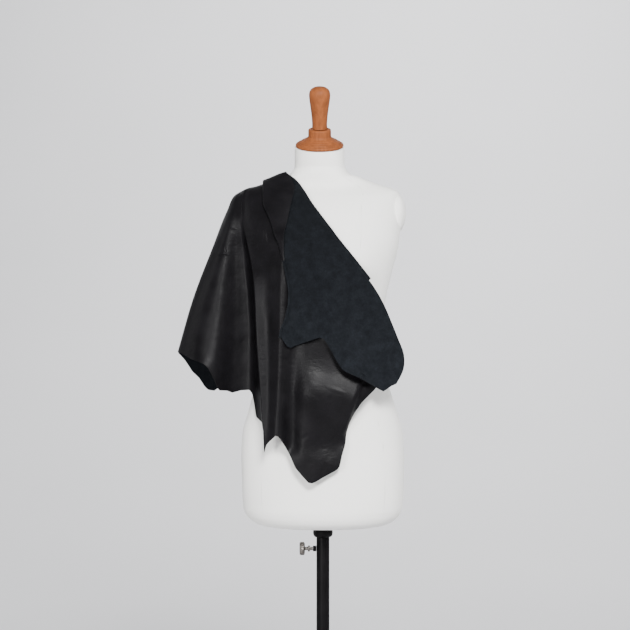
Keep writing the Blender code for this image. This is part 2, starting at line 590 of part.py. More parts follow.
def main():
    for old in list(bpy.data.objects):
        bpy.data.objects.remove(old, do_unlink=True)
    leather = material("black_leather", (0.012, 0.011, 0.014), 0.38)
    cloth = material("cream_jersey", (0.72, 0.69, 0.63), 0.9)
    wood = material("turned_wood", (0.47, 0.22, 0.09), 0.4)
    black = material("black_enamel", (0.012, 0.012, 0.013), 0.35)
    steel = material("polished_steel", (0.6, 0.6, 0.6), 0.25, 1.0)
    add_stand(black, steel)
    torso = add_torso(cloth)
    seat_plate(torso, "arm_plate_left", -1, cloth)
    seat_plate(torso, "arm_plate_right", 1, cloth)
    tilted = Matrix.Translation(NECK_TOP) @ Matrix.Rotation(NECK_TILT, 4, "X")
    turn("neck_cap", in_metres(CAP_PROFILE), wood, tilted, 30)
    turn("neck_knob", in_metres(KNOB_PROFILE), wood, tilted, 24)
    add_hide(leather)


if __name__ == "__main__":
    main()
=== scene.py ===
"""Leather hide thrown over the shoulder of a dress form, with its stand, stage, lights and camera.

Metres, +Z up, the front towards -Y. Outlines in the tables are millimetres in the upright plane through
the pole, as they look from the camera.
"""
import math

import bpy
import numpy as np
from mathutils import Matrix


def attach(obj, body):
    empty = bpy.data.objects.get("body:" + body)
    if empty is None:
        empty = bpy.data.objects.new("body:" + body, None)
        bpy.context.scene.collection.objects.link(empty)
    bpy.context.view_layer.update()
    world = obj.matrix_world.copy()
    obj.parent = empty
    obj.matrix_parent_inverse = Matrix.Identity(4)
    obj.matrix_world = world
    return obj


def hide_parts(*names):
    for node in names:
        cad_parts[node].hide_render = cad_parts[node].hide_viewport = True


bl_info = {
    "name": "Leather hide on a dress form",
    "version": (1, 0, 0),
    "blender": (4, 5, 0),
    "location": "View3D > Sidebar > Hide",
    "description": "Builds a draped leather hide, the dress form that carries it, and a studio stage",
    "category": "Add Mesh",
}

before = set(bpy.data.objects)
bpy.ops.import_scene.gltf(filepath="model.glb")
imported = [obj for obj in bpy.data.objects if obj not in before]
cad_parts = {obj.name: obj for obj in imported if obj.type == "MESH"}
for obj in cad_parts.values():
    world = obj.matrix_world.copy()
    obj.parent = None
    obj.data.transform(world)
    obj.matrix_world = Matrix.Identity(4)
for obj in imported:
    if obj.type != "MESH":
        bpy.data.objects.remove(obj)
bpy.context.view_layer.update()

MM = 0.001

# Viewpoint that the outlines belong to, and the camera's
EYE_X, EYE_Z, EYE_AWAY = -0.017, 1.155, 4.0
METRES_A_PIXEL, PICTURE_PIXELS, SENSOR_MM = 0.00215, 630, 36.0

# Paper sweep: half width, front end of the floor, back, radius of the bend, height
PAPER_HALF, PAPER_FROM, PAPER_FAR, PAPER_BEND, PAPER_HIGH = 8.0, -8.0, 6.6, 4.0, 7.0

# Stand
BASE_RADIUS, BASE_EDGE, BASE_CROWN = 0.165, 0.008, 0.020
HUB_RADIUS, HUB_TOP = 0.024, 0.042
GAP = 0.0003
POLE_RADIUS = 0.014
SOCKET_BOTTOM, SOCKET_TOP, SOCKET_RADIUS = 0.678, 0.6997, 0.0215
SCREW_HEIGHT, BOSS_RADIUS, BOSS_END = 0.653, 0.0061, 0.0215

# Form
ROUNDNESS = 2.2
LEAN_SHIFT, LEAN_DROP = -0.0071, 0.0117
BUST_HEIGHT, BUST_SIDE, BUST_RISE, BUST_WIDE, BUST_TALL = 1.265, 0.082, 0.012, 0.046, 0.055
NECK_TILT = math.radians(18)
NECK_TOP = (LEAN_SHIFT, -0.014, 1.515)
NECK_RADII = (0.0533, 0.0505, 0.0505)
NECK_RINGS, NECK_BLEND, LEVEL_STEP = 25, 0.3, 0.004
COLLAR_SIDE, COLLAR_FRONT, COLLAR_FROM, COLLAR_TO = 1.454, 1.4345, 0.018, 0.062
NO_SEAM_MM, BUST_EDGE_POWER = 9.0, 6
PLATE_CENTRE, PLATE_RADII = (0.165, 0.0, 1.372), (0.020, 0.042, 0.042)

# Hide
SEAT, FREE, TIP_LIFT = 0.0017, 0.0045, 0.0025
TURN, PUFF, HEM_OFF, FOLD_RUN = 0.0020, 0.005, 0.013, 0.0050
TURN_ANGLES = (-90, -60, -30, 0, 30, 60, 90)
FINE_ROWS, FINE_POWER = 260, 1.8
HEM_ANGULAR, MARGIN_ENDS = 0.9, 0.60
ROW_POWER, COLUMN_POWER, MARGIN_COLUMNS, MARGIN_START = 1.1, 1.15, 10, 1.2 * TURN
# Powers of the share along a line, with which a corner or a crest is met
CORNER_POWER, CREST_POWER, HEM_POWER = 6, 4, 8
# Evening near the shoulder's tip: columns, shares of the rows where it comes and goes, step, rounds
EASE_COLUMNS, EASE_COMES, EASE_GOES, EASE_STEP, EASE_TIMES = (2, 14), (0.03, 0.08), (0.25, 0.42), 0.25, 50

FORM_SECTIONS = {
    "z":     [700, 704, 708, 719, 733, 757, 810, 850, 880, 912, 942, 977, 1010, 1055, 1100, 1145, 1186,
              1225, 1265, 1301, 1335, 1370, 1398, 1409, 1414.5, 1419.8, 1426.4, 1433.2, 1441, 1450,
              1455, 1462, 1471],
    "half":  [104, 128, 141, 158, 168, 172, 174, 175, 174, 170, 161, 151, 141, 130, 125, 129, 139,
              148, 159, 168, 172.5, 173.5, 173, 172.5, 171, 166, 151, 129.5, 108, 86.5,
              69, 60.5, 54],
    "front": [66, 84, 94, 106, 112, 114, 113, 112, 110, 107, 103, 98, 94, 91, 90, 93, 100,
              109, 117, 116, 107, 94, 78, 69, 63, 57, 51, 48, 48, 50,
              51.5, 51.5, 51],
    "back":  [64, 82, 91, 104, 110, 113, 117, 119, 119, 115, 108, 98, 90, 83, 80, 83, 88,
              93, 98, 101, 101, 97, 86, 77, 70, 63, 57, 54, 53, 54,
              54, 53, 52],
}
# Seams of the form's cover, as a share of the half width by height; the front has a pair, the back too
FORM_SEAMS = {"z": [700, 760, 900, 1000, 1100, 1200, 1265, 1330, 1400, 1450],
              "front": [0.74, 0.75, 0.72, 0.66, 0.58, 0.55, 0.52, 0.50, 0.52, 0.60],
              "back": [0.60, 0.62, 0.60, 0.52, 0.44, 0.46, 0.48, 0.50, 0.54, 0.60]}

CAP_PROFILE = [(0, 0.4), (50, 0.4), (51.3, 2.4), (51.3, 5.4), (50, 7.4), (47.4, 8.2), (46.6, 9.6), (45.2, 10),
               (44.2, 9.6), (43.2, 11.4), (39.4, 13), (38.6, 14.6), (37.4, 14.4), (33.6, 16), (32.6, 17.4),
               (31.4, 17.2), (27.6, 19.4), (25, 22.4), (24.4, 24.5), (24.4, 36.5), (23.2, 38.9), (20.6, 39.5),
               (18.6, 39.5), (18.2, 38.2), (0, 38.2)]
KNOB_PROFILE = [(0, 39.9), (16.6, 39.9), (16.2, 42), (16.0, 50), (17.2, 68), (19.9, 88), (22, 103),
                (22.8, 111), (22.2, 118.5), (19.0, 125), (12, 129.6), (0, 131.4)]

CENTRE_FOLD = [(-168, 1421), (-174, 1392), (-173, 1368), (-169, 1340), (-161, 1305), (-151, 1254),
               (-146, 1200), (-143, 1123), (-139, 1058), (-135, 1004), (-130, 934), (-126, 860)]
NECKLINE = [(-76, 1458), (-58, 1445), (-41, 1424), (-28, 1403), (11, 1350), (43, 1308), (69, 1276),
            (95, 1243), (103, 1233)]
PANEL_HEM = [(-126, 860), (-121, 877), (-110, 888), (-100, 897), (-90, 887), (-74, 860), (-59, 826),
             (-44, 808), (-30, 793), (-21, 793), (1, 806), (35, 825), (42, 857), (48, 876), (50, 902),
             (56, 921), (65, 941), (86, 970), (112, 996), (135, 1030), (136, 1090), (120, 1150), (104, 1205),
             (103, 1233)]
FLAP_HEM = [(103, 1233), (124, 1198), (137, 1170), (161, 1108), (174, 1075), (176, 1052), (172, 1033),
            (158, 1007), (142, 1000), (132, 990), (123, 994), (101, 1007), (83, 1017), (66, 1025), (45, 1034),
            (33, 1049), (17, 1078), (6, 1097), (-4, 1108), (-18, 1104), (-38, 1097), (-63, 1089), (-77, 1083),
            (-91, 1101), (-94, 1106)]
FLAP_EDGE = [(-129, 1440), (-129, 1412), (-128, 1391), (-121, 1375), (-110, 1348), (-105, 1329), (-96, 1308),
             (-89, 1280), (-84, 1257), (-78, 1230), (-75, 1214), (-75, 1181), (-79, 1157), (-86, 1136),
             (-92, 1123), (-94, 1106)]
MARGIN = {"share": [0, 0.03, 0.075, 0.12, 0.21, 0.30, 0.38, 0.47, 0.58, 0.75, 1],
          "wide": [50, 60, 67, 65, 46, 28, 14, 6, 3.6, 3.2, 3.2]}
BACK_FOLD = [(-168, 1421), (-175, 1380), (-178, 1300), (-178, 1200), (-176, 1100), (-174, 1012)]
BACK_NECKLINE = [(-76, 1458), (-66, 1425), (-54, 1390), (-45, 1362)]
BACK_HEM = [(-174, 1012), (-150, 998), (-120, 975), (-86, 958), (-60, 951), (-34, 962), (-10, 955), (12, 978),
            (26, 1024), (18, 1090), (-6, 1160), (-26, 1240), (-40, 1310), (-45, 1362)]
BACK_FLAP_HEM = [(-45, 1362), (-62, 1350), (-84, 1352), (-104, 1341), (-119, 1349)]
BACK_FLAP_EDGE = [(-129, 1440), (-126, 1415), (-121, 1380), (-119, 1349)]
BACK_MARGIN = {"share": [0, 0.3, 0.7, 1], "wide": [50, 42, 21, 11]}
FRONT_FOLDS = [
    {"name": "left edge of the panel", "from": (-173, 1385), "to": (-126, 860),
     "wide": 26, "rise": (4, 27)},
    {"name": "ridge down the panel", "from": (-84, 1300), "to": (-96, 890),
     "wide": 16, "rise": (5, 21)},
    {"name": "trough beside that ridge", "from": (-58, 1230), "to": (-66, 880),
     "wide": 16, "rise": (-3, -9)},
    {"name": "low fold to the tip", "from": (-34, 1060), "to": (-26, 800),
     "wide": 34, "rise": (1, 9)},
    {"name": "bulge under the flap", "from": (-14, 992), "to": (50, 980),
     "wide": 42, "rise": (12, 14)},
    {"name": "dimple over the tip", "from": (0, 884), "to": (20, 880),
     "wide": 26, "rise": (-6, -5)},
    {"name": "crease inside the right hem", "from": (86, 1016), "to": (48, 900),
     "wide": 5, "rise": (-10, -6)},
    {"name": "lip beside that crease", "from": (77, 1012), "to": (41, 900),
     "wide": 6, "rise": (5, 3)},
    {"name": "rolled right edge", "from": (62, 900), "to": (118, 1000),
     "wide": 20, "rise": (-24, -18)},
    {"name": "soft fold of the flap", "from": (-20, 1330), "to": (28, 1110),
     "wide": 24, "rise": (1, 8)},
    {"name": "trough of the flap", "from": (30, 1290), "to": (95, 1030),
     "wide": 22, "rise": (-1, -6)},
]
BACK_FOLDS = [
    {"name": "fold off the shoulder", "from": (-150, 1400), "to": (-140, 985),
     "wide": 26, "rise": (2, 22)},
    {"name": "middle fold", "from": (-100, 1390), "to": (-62, 955), "wide": 24, "rise": (1, 18)},
    {"name": "right fold", "from": (-60, 1350), "to": (6, 970), "wide": 22, "rise": (1, 14)},
]
STIFF_FRONT = {"x": [-240, -150, -120, -80, -20, 40, 85, 120, 160, 200],
               "out": [60, 96, 112, 126, 128, 129, 128, 120, 104, 86]}
STIFF_BACK = {"x": [-240, -178, -150, -100, -40, 40, 100], "out": [40, 78, 92, 106, 108, 106, 96]}
STIFF_FROM, STIFF_FALL, STIFF_EASE, MERGE_EASE = 1.255, 1.1, 0.030, 0.010
HANG_FROM = np.linspace(1.20, 1.45, 42)
CONE_SHARES = [0.05, 0.12, 0.35, 0.65, 1.0]
CONE_FOLDS = [
    {"name": "wall of the valley", "at": 0.10,
     "line": [(-171, 1413, -28), (-173, 1379, -43), (-150, 1255, -70), (-138, 1095, -92), (-128, 925, -104)]},
    {"name": "floor of the valley", "at": 0.26,
     "line": [(-175, 1413, -26), (-177, 1379, -42), (-168, 1282, -44), (-156, 1140, -48), (-157, 993, -54)]},
    {"name": "shoulder of the valley", "at": 0.38,
     "line": [(-180, 1412, -22), (-183, 1379, -39), (-187, 1284, -45), (-186, 1148, -51), (-194, 993, -60)]},
    {"name": "front of the cone", "at": 0.50,
     "line": [(-185, 1412, -16), (-194, 1379, -34), (-211, 1288, -51), (-228, 1152, -67), (-240, 1000, -86)]},
    {"name": "front side of the cone", "at": 0.62,
     "line": [(-188, 1411, -9), (-201, 1380, -21), (-228, 1295, -35), (-258, 1178, -50), (-281, 1056, -70)]},
    {"name": "left edge of the cone", "at": 0.74,
     "line": [(-190, 1411, 0), (-205, 1380, 0), (-236, 1301, -2), (-276, 1197, -8), (-311, 1076, -14)]},
    {"name": "back of the cone", "at": 0.87,
     "line": [(-187, 1411, 18), (-201, 1379, 32), (-218, 1290, 42), (-246, 1150, 44), (-252, 997, 36)]},
]
# Cut hem of the cone as it looks, its front layer and its back layer, read by x from left to right
CONE_HEM = [(-312, 1077), (-298, 1069), (-284, 1060), (-271, 1056), (-258, 1050), (-248, 1042), (-241, 1030),
            (-233, 1015), (-228, 1002), (-224, 993), (-205, 992), (-195, 988), (-176, 993), (-158, 994),
            (-152, 987), (-148, 969), (-143, 937), (-131, 925), (-124, 880)]
CONE_BACK_HEM = [(-312, 1075), (-298, 1060), (-289, 1047), (-281, 1034), (-265, 1019), (-256, 1004),
                 (-247, 994), (-232, 992)]
BACK_FOLD_AT, NEXT_FRONT, NEXT_BACK, NEXT_SHARE = 1.0, -0.06, 1.08, 1 / 16

# Creases of the grain, each an ellipsoid: middle, half sizes and rise in mm, and its
# turn about the depth axis in degrees
CREASES = [
    {"at": (-211, -45, 1282), "half": (17, 40, 3.0), "turned": 3, "rise": 1.5},
    {"at": (-206, -45, 1290), "half": (2.6, 40, 12), "turned": -14, "rise": -1.2},
    {"at": (-191, -45, 1338), "half": (12, 40, 2.8), "turned": 6, "rise": 1.0},
    {"at": (-14, -150, 976), "half": (26, 60, 9.0), "turned": 40, "rise": 1.0},
    {"at": (26, -150, 1000), "half": (26, 60, 8.0), "turned": 20, "rise": 0.7},
    {"at": (-40, -150, 900), "half": (22, 60, 8.0), "turned": -36, "rise": -0.6},
    {"at": (-121, -90, 1318), "half": (5.0, 50, 24), "turned": -8, "rise": 1.6},
]


def linear(hex_colour):
    """Linear colour and alpha of an sRGB hex value, by the sRGB curve."""
    parts = np.array([int(hex_colour[i:i + 2], 16) for i in (1, 3, 5)]) / 255
    low, high = parts / 12.92, ((parts + 0.055) / 1.055) ** 2.4
    return (*np.where(parts <= 0.04045, low, high), 1.0)


def smoothstep(value, low, high):
    """0 below low, 1 above high and the cubic 3s^2 - 2s^3 between."""
    share = np.clip((np.asarray(value, float) - low) / (high - low), 0.0, 1.0)
    return share * share * (3.0 - 2.0 * share)


def hermite(knots, values, at):
    """Cubic through values (one row a knot) with the slopes of its neighbours, read at the places given."""
    knots, values, at = (np.asarray(a, float) for a in (knots, values, at))
    slopes = np.gradient(values, knots, axis=0)
    i = np.clip(np.searchsorted(knots, at, side="right") - 1, 0, len(knots) - 2)
    span = knots[i + 1] - knots[i]
    share = (at - knots[i]) / span
    shape = at.shape + (1,) * (values.ndim - 1)
    span, share = span.reshape(shape), share.reshape(shape)
    a, b = values[i], values[i + 1]
    return ((1 + 2 * share) * (1 - share) ** 2 * a + share * (1 - share) ** 2 * span * slopes[i]
            + share ** 2 * (3 - 2 * share) * b + share ** 2 * (share - 1) * span * slopes[i + 1])


def along(points, share, angular=0.0):
    """Cubic line through points in mm, read at shares of its length, in metres; angular mixes in the straight
    line between the points, as a cut hem has."""
    points = np.asarray(points, float) * MM
    steps = np.linalg.norm(np.diff(points, axis=0), axis=1)
    knots = np.concatenate(([0.0], np.cumsum(steps))) / steps.sum()
    straight = np.stack([np.interp(share, knots, points[:, axis]) for axis in (0, 1)], axis=-1)
    return (1 - angular) * hermite(knots, points, share) + angular * straight


def section(column, z):
    """Half width or depth of the form at height z, on straight lines between the listed heights."""
    return np.interp(z, np.array(FORM_SECTIONS["z"]) * MM, np.array(FORM_SECTIONS[column]) * MM)


def lean(z):
    """Sideways lean, a smooth step from the hips to the shoulders."""
    return LEAN_SHIFT * smoothstep(z, 0.80, 1.45)


def drop(z):
    """Slope of the shoulders, a smooth step from the chest up."""
    return LEAN_DROP * smoothstep(z, 1.10, 1.40)


def bust(x, z):
    """Rise of the two bust mounds: a bell in x and z round each centre."""
    across = (np.abs(x) - BUST_SIDE) / BUST_WIDE
    up = (z - BUST_HEIGHT) / BUST_TALL
    return BUST_RISE * np.exp(-across ** 2 - up ** 2)


def form_depth(x, z, front):
    """Depth of the form at x and z: the oval section's, with the bust and the arm plate's ball."""
    own_z = z - drop(z) * x
    own_x = x - lean(own_z)
    share = np.clip(np.abs(own_x) / section("half", own_z), 0.0, 1.0)
    depth = section("front" if front else "back", own_z) * (1 - share ** ROUNDNESS) ** (1 / ROUNDNESS)
    if front:
        depth = depth + bust(own_x, own_z) * (1 - share ** BUST_EDGE_POWER)
    across = (np.abs(own_x) - PLATE_CENTRE[0]) / PLATE_RADII[0]
    up = (own_z - PLATE_CENTRE[2]) / PLATE_RADII[2]
    return np.maximum(depth, PLATE_RADII[1] * np.sqrt(np.clip(1 - across ** 2 - up ** 2, 0.0, 1.0)))


def shoulder_height(x):
    """Height at which the form's half width is the distance of x from its middle."""
    z = np.linspace(1.405, 1.458, 80)
    own = section("half", z)
    return np.interp(np.abs(x - LEAN_SHIFT), own[::-1], z[::-1]) + LEAN_DROP * x


def seat_height(x):
    """Height of the hide's middle on the shoulder, a little off it at the stiff tip."""
    return shoulder_height(x) + SEAT + TIP_LIFT * smoothstep(-x, 0.140, 0.168)


def fold_rise(folds, x, z):
    """Sum of the folds: a bell across each fold's line, growing from its start to its end."""
    total = np.zeros_like(x)
    for fold in folds:
        start, end = np.array(fold["from"]) * MM, np.array(fold["to"]) * MM
        run = end - start
        share = np.clip(((x - start[0]) * run[0] + (z - start[1]) * run[1]) / run.dot(run), 0.0, 1.0)
        away = np.hypot(x - start[0] - share * run[0], z - start[1] - share * run[1])
        rise = (fold["rise"][0] + (fold["rise"][1] - fold["rise"][0]) * share) * MM
        total = total + rise * np.exp(-(away / (fold["wide"] * MM)) ** 2)
    return total


def hang(x, z, front):
    """Depth of the hide's middle: the form's greatest depth above, eased into the stiff hide's own reach."""
    reach = np.zeros_like(x)
    for level in HANG_FROM:
        reach = np.maximum(reach, form_depth(x, np.maximum(z, level), front))
    below = shoulder_height(x) - z
    free = SEAT + (FREE - SEAT) * smoothstep(below, 0.004, 0.05)
    stiff = STIFF_FRONT if front else STIFF_BACK
    stand = hermite(np.array(stiff["x"]) * MM, np.array(stiff["out"]) * MM, x)
    above = z - STIFF_FROM
    stand = stand - STIFF_FALL * 0.5 * (above + np.sqrt(above ** 2 + STIFF_EASE ** 2))
    over = reach + free - stand
    merged = 0.5 * (reach + free + stand + np.sqrt(over ** 2 + MERGE_EASE ** 2))
    merged = np.where(stand > -0.02, merged, reach + free)
    ease = smoothstep(below, 0.0, 0.06)
    merged = (reach + free) + (merged - reach - free) * ease
    return merged + fold_rise(FRONT_FOLDS if front else BACK_FOLDS, x, z) * ease


def view_to_world(x, z, y):
    """Place of a point that looks to be at (x, z) in the pole's plane but lies at depth y, by perspective."""
    scale = (y + EYE_AWAY) / EYE_AWAY
    return EYE_X + (x - EYE_X) * scale, EYE_Z + (z - EYE_Z) * scale


def world_to_view(points):
    """Where points look to be in the pole's plane, as x and z: the inverse of view_to_world."""
    scale = EYE_AWAY / (points[:, 1] + EYE_AWAY)
    return EYE_X + (points[:, 0] - EYE_X) * scale, EYE_Z + (points[:, 2] - EYE_Z) * scale


def lay(x, z, layer, front):
    """World points of hide that looks to be at (x, z), layer metres above the lowest. Its depth moves the
    point seen, so the depth is worked out in four rounds."""
    y = np.zeros_like(x)
    side = -1.0 if front else 1.0
    for _ in range(4):
        wx, wz = view_to_world(x, z, y) if front else (x, z)
        raised = seat_height(wx) - shoulder_height(wx) + layer
        wz = np.minimum(wz, seat_height(wx) + layer)
        y = side * (hang(wx, wz - raised, front) + layer)
        y = np.where(seat_height(wx) + layer - wz < 1e-6, 0.0, y)
    return np.stack([wx, y, wz], axis=-1)


def patch(left, right, top, bottom, across, down):
    """Surface between four lines: the sum of both ruled surfaces less the flat one of the corners."""
    s, t = across[None, :, None], down[:, None, None]
    ruled = (1 - s) * left[:, None] + s * right[:, None] + (1 - t) * top[None] + t * bottom[None]
    corners = (1 - t) * ((1 - s) * left[0] + s * right[0]) + t * ((1 - s) * left[-1] + s * right[-1])
    return ruled - corners


def shift_in(line, width, sign):
    """Line moved sideways by width, level at its top and square to it further down."""
    run = np.gradient(line, axis=0)
    run /= np.linalg.norm(run, axis=1, keepdims=True)
    square = np.stack([run[:, 1], -run[:, 0]], axis=1) * sign
    level = np.array([[-sign, 0.0]])
    share = smoothstep(np.arange(len(line)) / (len(line) - 1), 0.0, 0.2)[:, None]
    way = level * (1 - share) + square * share
    way /= np.linalg.norm(way, axis=1, keepdims=True)
    return line + way * width


def hide_side(front, down, counts):
    """Columns of one side, from the shoulder's tip over the panel, flap and margin, as (x, z) and layer."""
    fold = along(CENTRE_FOLD if front else BACK_FOLD, down)
    neckline = along(NECKLINE if front else BACK_NECKLINE, down)
    edge = along(FLAP_EDGE if front else BACK_FLAP_EDGE, down)
    margin = MARGIN if front else BACK_MARGIN
    margin_width = hermite(margin["share"], np.array(margin["wide"]) * MM, down)
    hem = PANEL_HEM if front else BACK_HEM
    flap_hem = FLAP_HEM if front else BACK_FLAP_HEM
    parts, layers = [], []
    turn_in = np.array([TURN * (1 - math.cos(math.radians(a))) for a in TURN_ANGLES])
    turn_up = np.array([TURN * (1 + math.sin(math.radians(a))) for a in TURN_ANGLES])

    def keep(grid, layer):
        parts.append(grid)
        layers.append(np.broadcast_to(layer, grid.shape[:2]))

    def keep_turn(line, sign, low):
        keep(np.stack([shift_in(line, w, sign) for w in turn_in], axis=1), low + turn_up[None])

    inner = shift_in(neckline, FOLD_RUN, 1)
    across = np.linspace(0.0, 1.0, counts["panel"]) ** COLUMN_POWER
    top = fold[0] + (inner[0] - fold[0]) * across[:, None]
    bottom = along(hem, across, HEM_ANGULAR)
    bottom += (inner[-1] - bottom[-1]) * across[:, None] ** CORNER_POWER
    keep(patch(fold, inner, top, bottom, across, down), 0.0)
    keep_turn(neckline, 1, 0.0)
    flap_right = shift_in(edge, FOLD_RUN, -1)
    across = np.linspace(0.0, 1.0, counts["flap"])
    top = inner[0] + (flap_right[0] - inner[0]) * across[:, None]
    bottom = along(flap_hem, across, HEM_ANGULAR)
    bottom += (inner[-1] - bottom[0]) * (1 - across[:, None]) ** CORNER_POWER
    bottom += (flap_right[-1] - bottom[-1]) * across[:, None] ** CORNER_POWER
    hem_off = HEM_OFF if front else 0.0
    loose = (PUFF * smoothstep(down, 0.2, 0.5) + hem_off * smoothstep(down, 0.6, 1.0))[:, None]
    keep(patch(inner, flap_right, top, bottom, across, down),
         2 * TURN + loose * np.sin(math.pi * np.arange(counts["flap"]) / (counts["flap"] - 1))[None])
    keep_turn(edge, -1, 2 * TURN)
    flap_wide = np.linalg.norm(flap_right - inner, axis=1)
    further = (margin_width - MARGIN_START)[:, None] * np.linspace(0.0, 1.0, MARGIN_COLUMNS + 1)[None]
    keep(shift_in(edge, MARGIN_START, -1)[:, None] + np.stack([further, 0 * further], axis=-1),
         4 * TURN + loose * np.sin(math.pi * further / flap_wide[:, None]))
    flat, layers = np.concatenate(parts, axis=1), np.concatenate(layers, axis=1)
    crest = seat_height(flat[0, :, 0]) + layers[0]
    flat[:, :, 1] += (crest - flat[0, :, 1]) * (1 - down[:, None]) ** CREST_POWER
    least_fall = 0.5 * (flat[0, :, 1] - flat[-1, :, 1]) * down[:, None]
    flat[:, :, 1] = np.minimum(flat[:, :, 1], seat_height(flat[:, :, 0]) + layers - least_fall)
    return flat, layers


def resample(points, share, counts):
    """Columns read at shares of their length; those at a turn follow the turn's own line."""
    half_turn = len(TURN_ANGLES) // 2
    turn_line = counts["panel"] + half_turn
    edge_line = counts["panel"] + len(TURN_ANGLES) + counts["flap"] + half_turn
    out = np.empty((len(share),) + points.shape[1:])
    for c in range(points.shape[1]):
        guide = c
        if abs(c - turn_line) <= half_turn + 1:
            guide = turn_line
        elif c >= edge_line - half_turn - 1:
            guide = edge_line
        steps = np.linalg.norm(np.diff(points[:, guide], axis=0), axis=1)
        length = np.concatenate(([0.0], np.cumsum(steps)))
        for axis in range(3):
            out[:, c, axis] = np.interp(share * length[-1], length, points[:, c, axis])
    return out


def hide_middle(counts):
    """Middle surface of the hide: a grid over the shoulder and a fan of rays round its tip, which share a
    column.

    Near the shoulder's tip the depth of the first columns is evened out down the rows.
    Gives vertices, triangles (each quad split at its shorter diagonal), the outline's loop, and which
    triangles belong to the flap's bare left edge below the turned margin.
    """
    fine = np.linspace(0.0, 1.0, FINE_ROWS) ** FINE_POWER
    rows = np.linspace(0.0, 1.0, counts["rows"] + 1) ** ROW_POWER
    sides = []
    for front in (False, True):
        flat, layers = hide_side(front, fine, counts)
        points = lay(flat[..., 0], flat[..., 1], layers, front)
        points[0, :, 1] = 0.0
        points[0, :, 2] = seat_height(points[0, :, 0]) + layers[0]
        sides.append(resample(points, rows, counts))
    grid = np.concatenate([sides[0][:0:-1], sides[1]], axis=0)
    last = counts["rows"]
    near_rows = smoothstep(rows, *EASE_COMES) * (1 - smoothstep(rows, *EASE_GOES))
    near = (1 - smoothstep(np.arange(counts["panel"]), *EASE_COLUMNS)) * near_rows[:, None]
    depth = grid[last:, :counts["panel"], 1]
    for _ in range(EASE_TIMES):
        depth[1:-1] += EASE_STEP * near[1:-1] * (depth[:-2] - 2 * depth[1:-1] + depth[2:])
    tip, share = grid[last, 0], rows[1:]
    knots = [NEXT_FRONT, 0.0] + [fold["at"] for fold in CONE_FOLDS] + [BACK_FOLD_AT, NEXT_BACK]
    beside = round((counts["panel"] - 1) * NEXT_SHARE)
    lines = [grid[last + 1:, beside], grid[last + 1:, 0]]
    for fold in CONE_FOLDS:
        view = np.array(fold["line"], float) * MM
        x, z = view_to_world(view[:, 0], view[:, 1], view[:, 2])
        placed = np.stack([x, view[:, 2], z], axis=1)
        lines.append(hermite([0.0] + CONE_SHARES, np.vstack([tip, placed]), share))
    lines += [grid[last - 1::-1, 0], grid[last - 1::-1, beside]]
    around = np.linspace(0.0, BACK_FOLD_AT, counts["cone"] + 1)[1:-1]
    cone = hermite(knots, np.stack(lines), around)
    seen_x, seen_z = world_to_view(cone[:, -1])
    left_edge = next(fold["at"] for fold in CONE_FOLDS if fold["name"] == "left edge of the cone")
    for hem, inside in ((CONE_HEM, around <= left_edge),
                        (CONE_BACK_HEM, (around > left_edge) & (seen_x < CONE_BACK_HEM[-1][0] * MM))):
        wanted = np.interp(seen_x, *(np.array(hem) * MM).T)
        off = np.where(inside, wanted - seen_z, 0.0)
        cone[:, :, 2] += off[:, None] * share[None] ** HEM_POWER
    height, width = grid.shape[:2]
    rays, rings = cone.shape[:2]
    vertices = np.concatenate([grid.reshape(-1, 3), cone.reshape(-1, 3)])
    number = np.arange(height * width).reshape(height, width)
    ray = height * width + np.arange(rays * rings).reshape(rays, rings)
    quads = np.stack([number[:-1, :-1], number[:-1, 1:], number[1:, 1:], number[1:, :-1]], axis=-1)
    fan = np.vstack([number[last + 1:, 0], ray, number[last - 1::-1, 0]])
    cone_quads = np.stack([fan[1:, :-1], fan[1:, 1:], fan[:-1, 1:], fan[:-1, :-1]], axis=-1)
    caps = np.stack([np.full(rays + 1, number[last, 0]), fan[1:, 0], fan[:-1, 0]], axis=1)
    quads = np.concatenate([quads.reshape(-1, 4)[:, ::-1], cone_quads.reshape(-1, 4)])
    one = np.linalg.norm(vertices[quads[:, 0]] - vertices[quads[:, 2]], axis=1)
    other = np.linalg.norm(vertices[quads[:, 1]] - vertices[quads[:, 3]], axis=1)
    quads = np.where((one > other)[:, None], np.roll(quads, -1, axis=1), quads)
    faces = np.concatenate([quads[:, [0, 1, 2]], quads[:, [0, 2, 3]], caps])
    outline = np.concatenate([number[-1, ::-1], fan[1:-1, -1], number[0, :], number[1:-1, -1]])
    bare = np.zeros(len(vertices), bool)
    flat_columns = counts["panel"] + len(TURN_ANGLES) + counts["flap"]
    first_bare = last + round(last * MARGIN_ENDS ** (1 / ROW_POWER))
    bare[number[first_bare:, flat_columns:].ravel()] = True
    return vertices, faces, outline, bare[faces].all(axis=1)


def vertex_normals(vertices, faces):
    """Mean of the normals of the faces round each vertex, weighted by area."""
    first, second, third = np.moveaxis(vertices[faces], 1, 0)
    square = np.cross(second - first, third - first)
    normals = np.zeros_like(vertices)
    for corner in range(3):
        np.add.at(normals, faces[:, corner], square)
    return normals / np.linalg.norm(normals, axis=1, keepdims=True)


def rounded(profile, radius, steps=4):
    """Profile whose inner corners become curves: each is the parabola between points radius away from it."""
    points = np.array(profile, float)
    out = [points[:1]]
    for before, corner, after in zip(points, points[1:], points[2:]):
        back, on = before - corner, after - corner
        reach = min(radius, 0.45 * np.linalg.norm(back), 0.45 * np.linalg.norm(on))
        start = corner + back / np.linalg.norm(back) * reach
        end = corner + on / np.linalg.norm(on) * reach
        t = np.linspace(0.0, 1.0, steps + 1)[:, None]
        out.append((1 - t) ** 2 * start + 2 * t * (1 - t) * corner + t ** 2 * end)
    out.append(points[-1:])
    return np.concatenate(out)


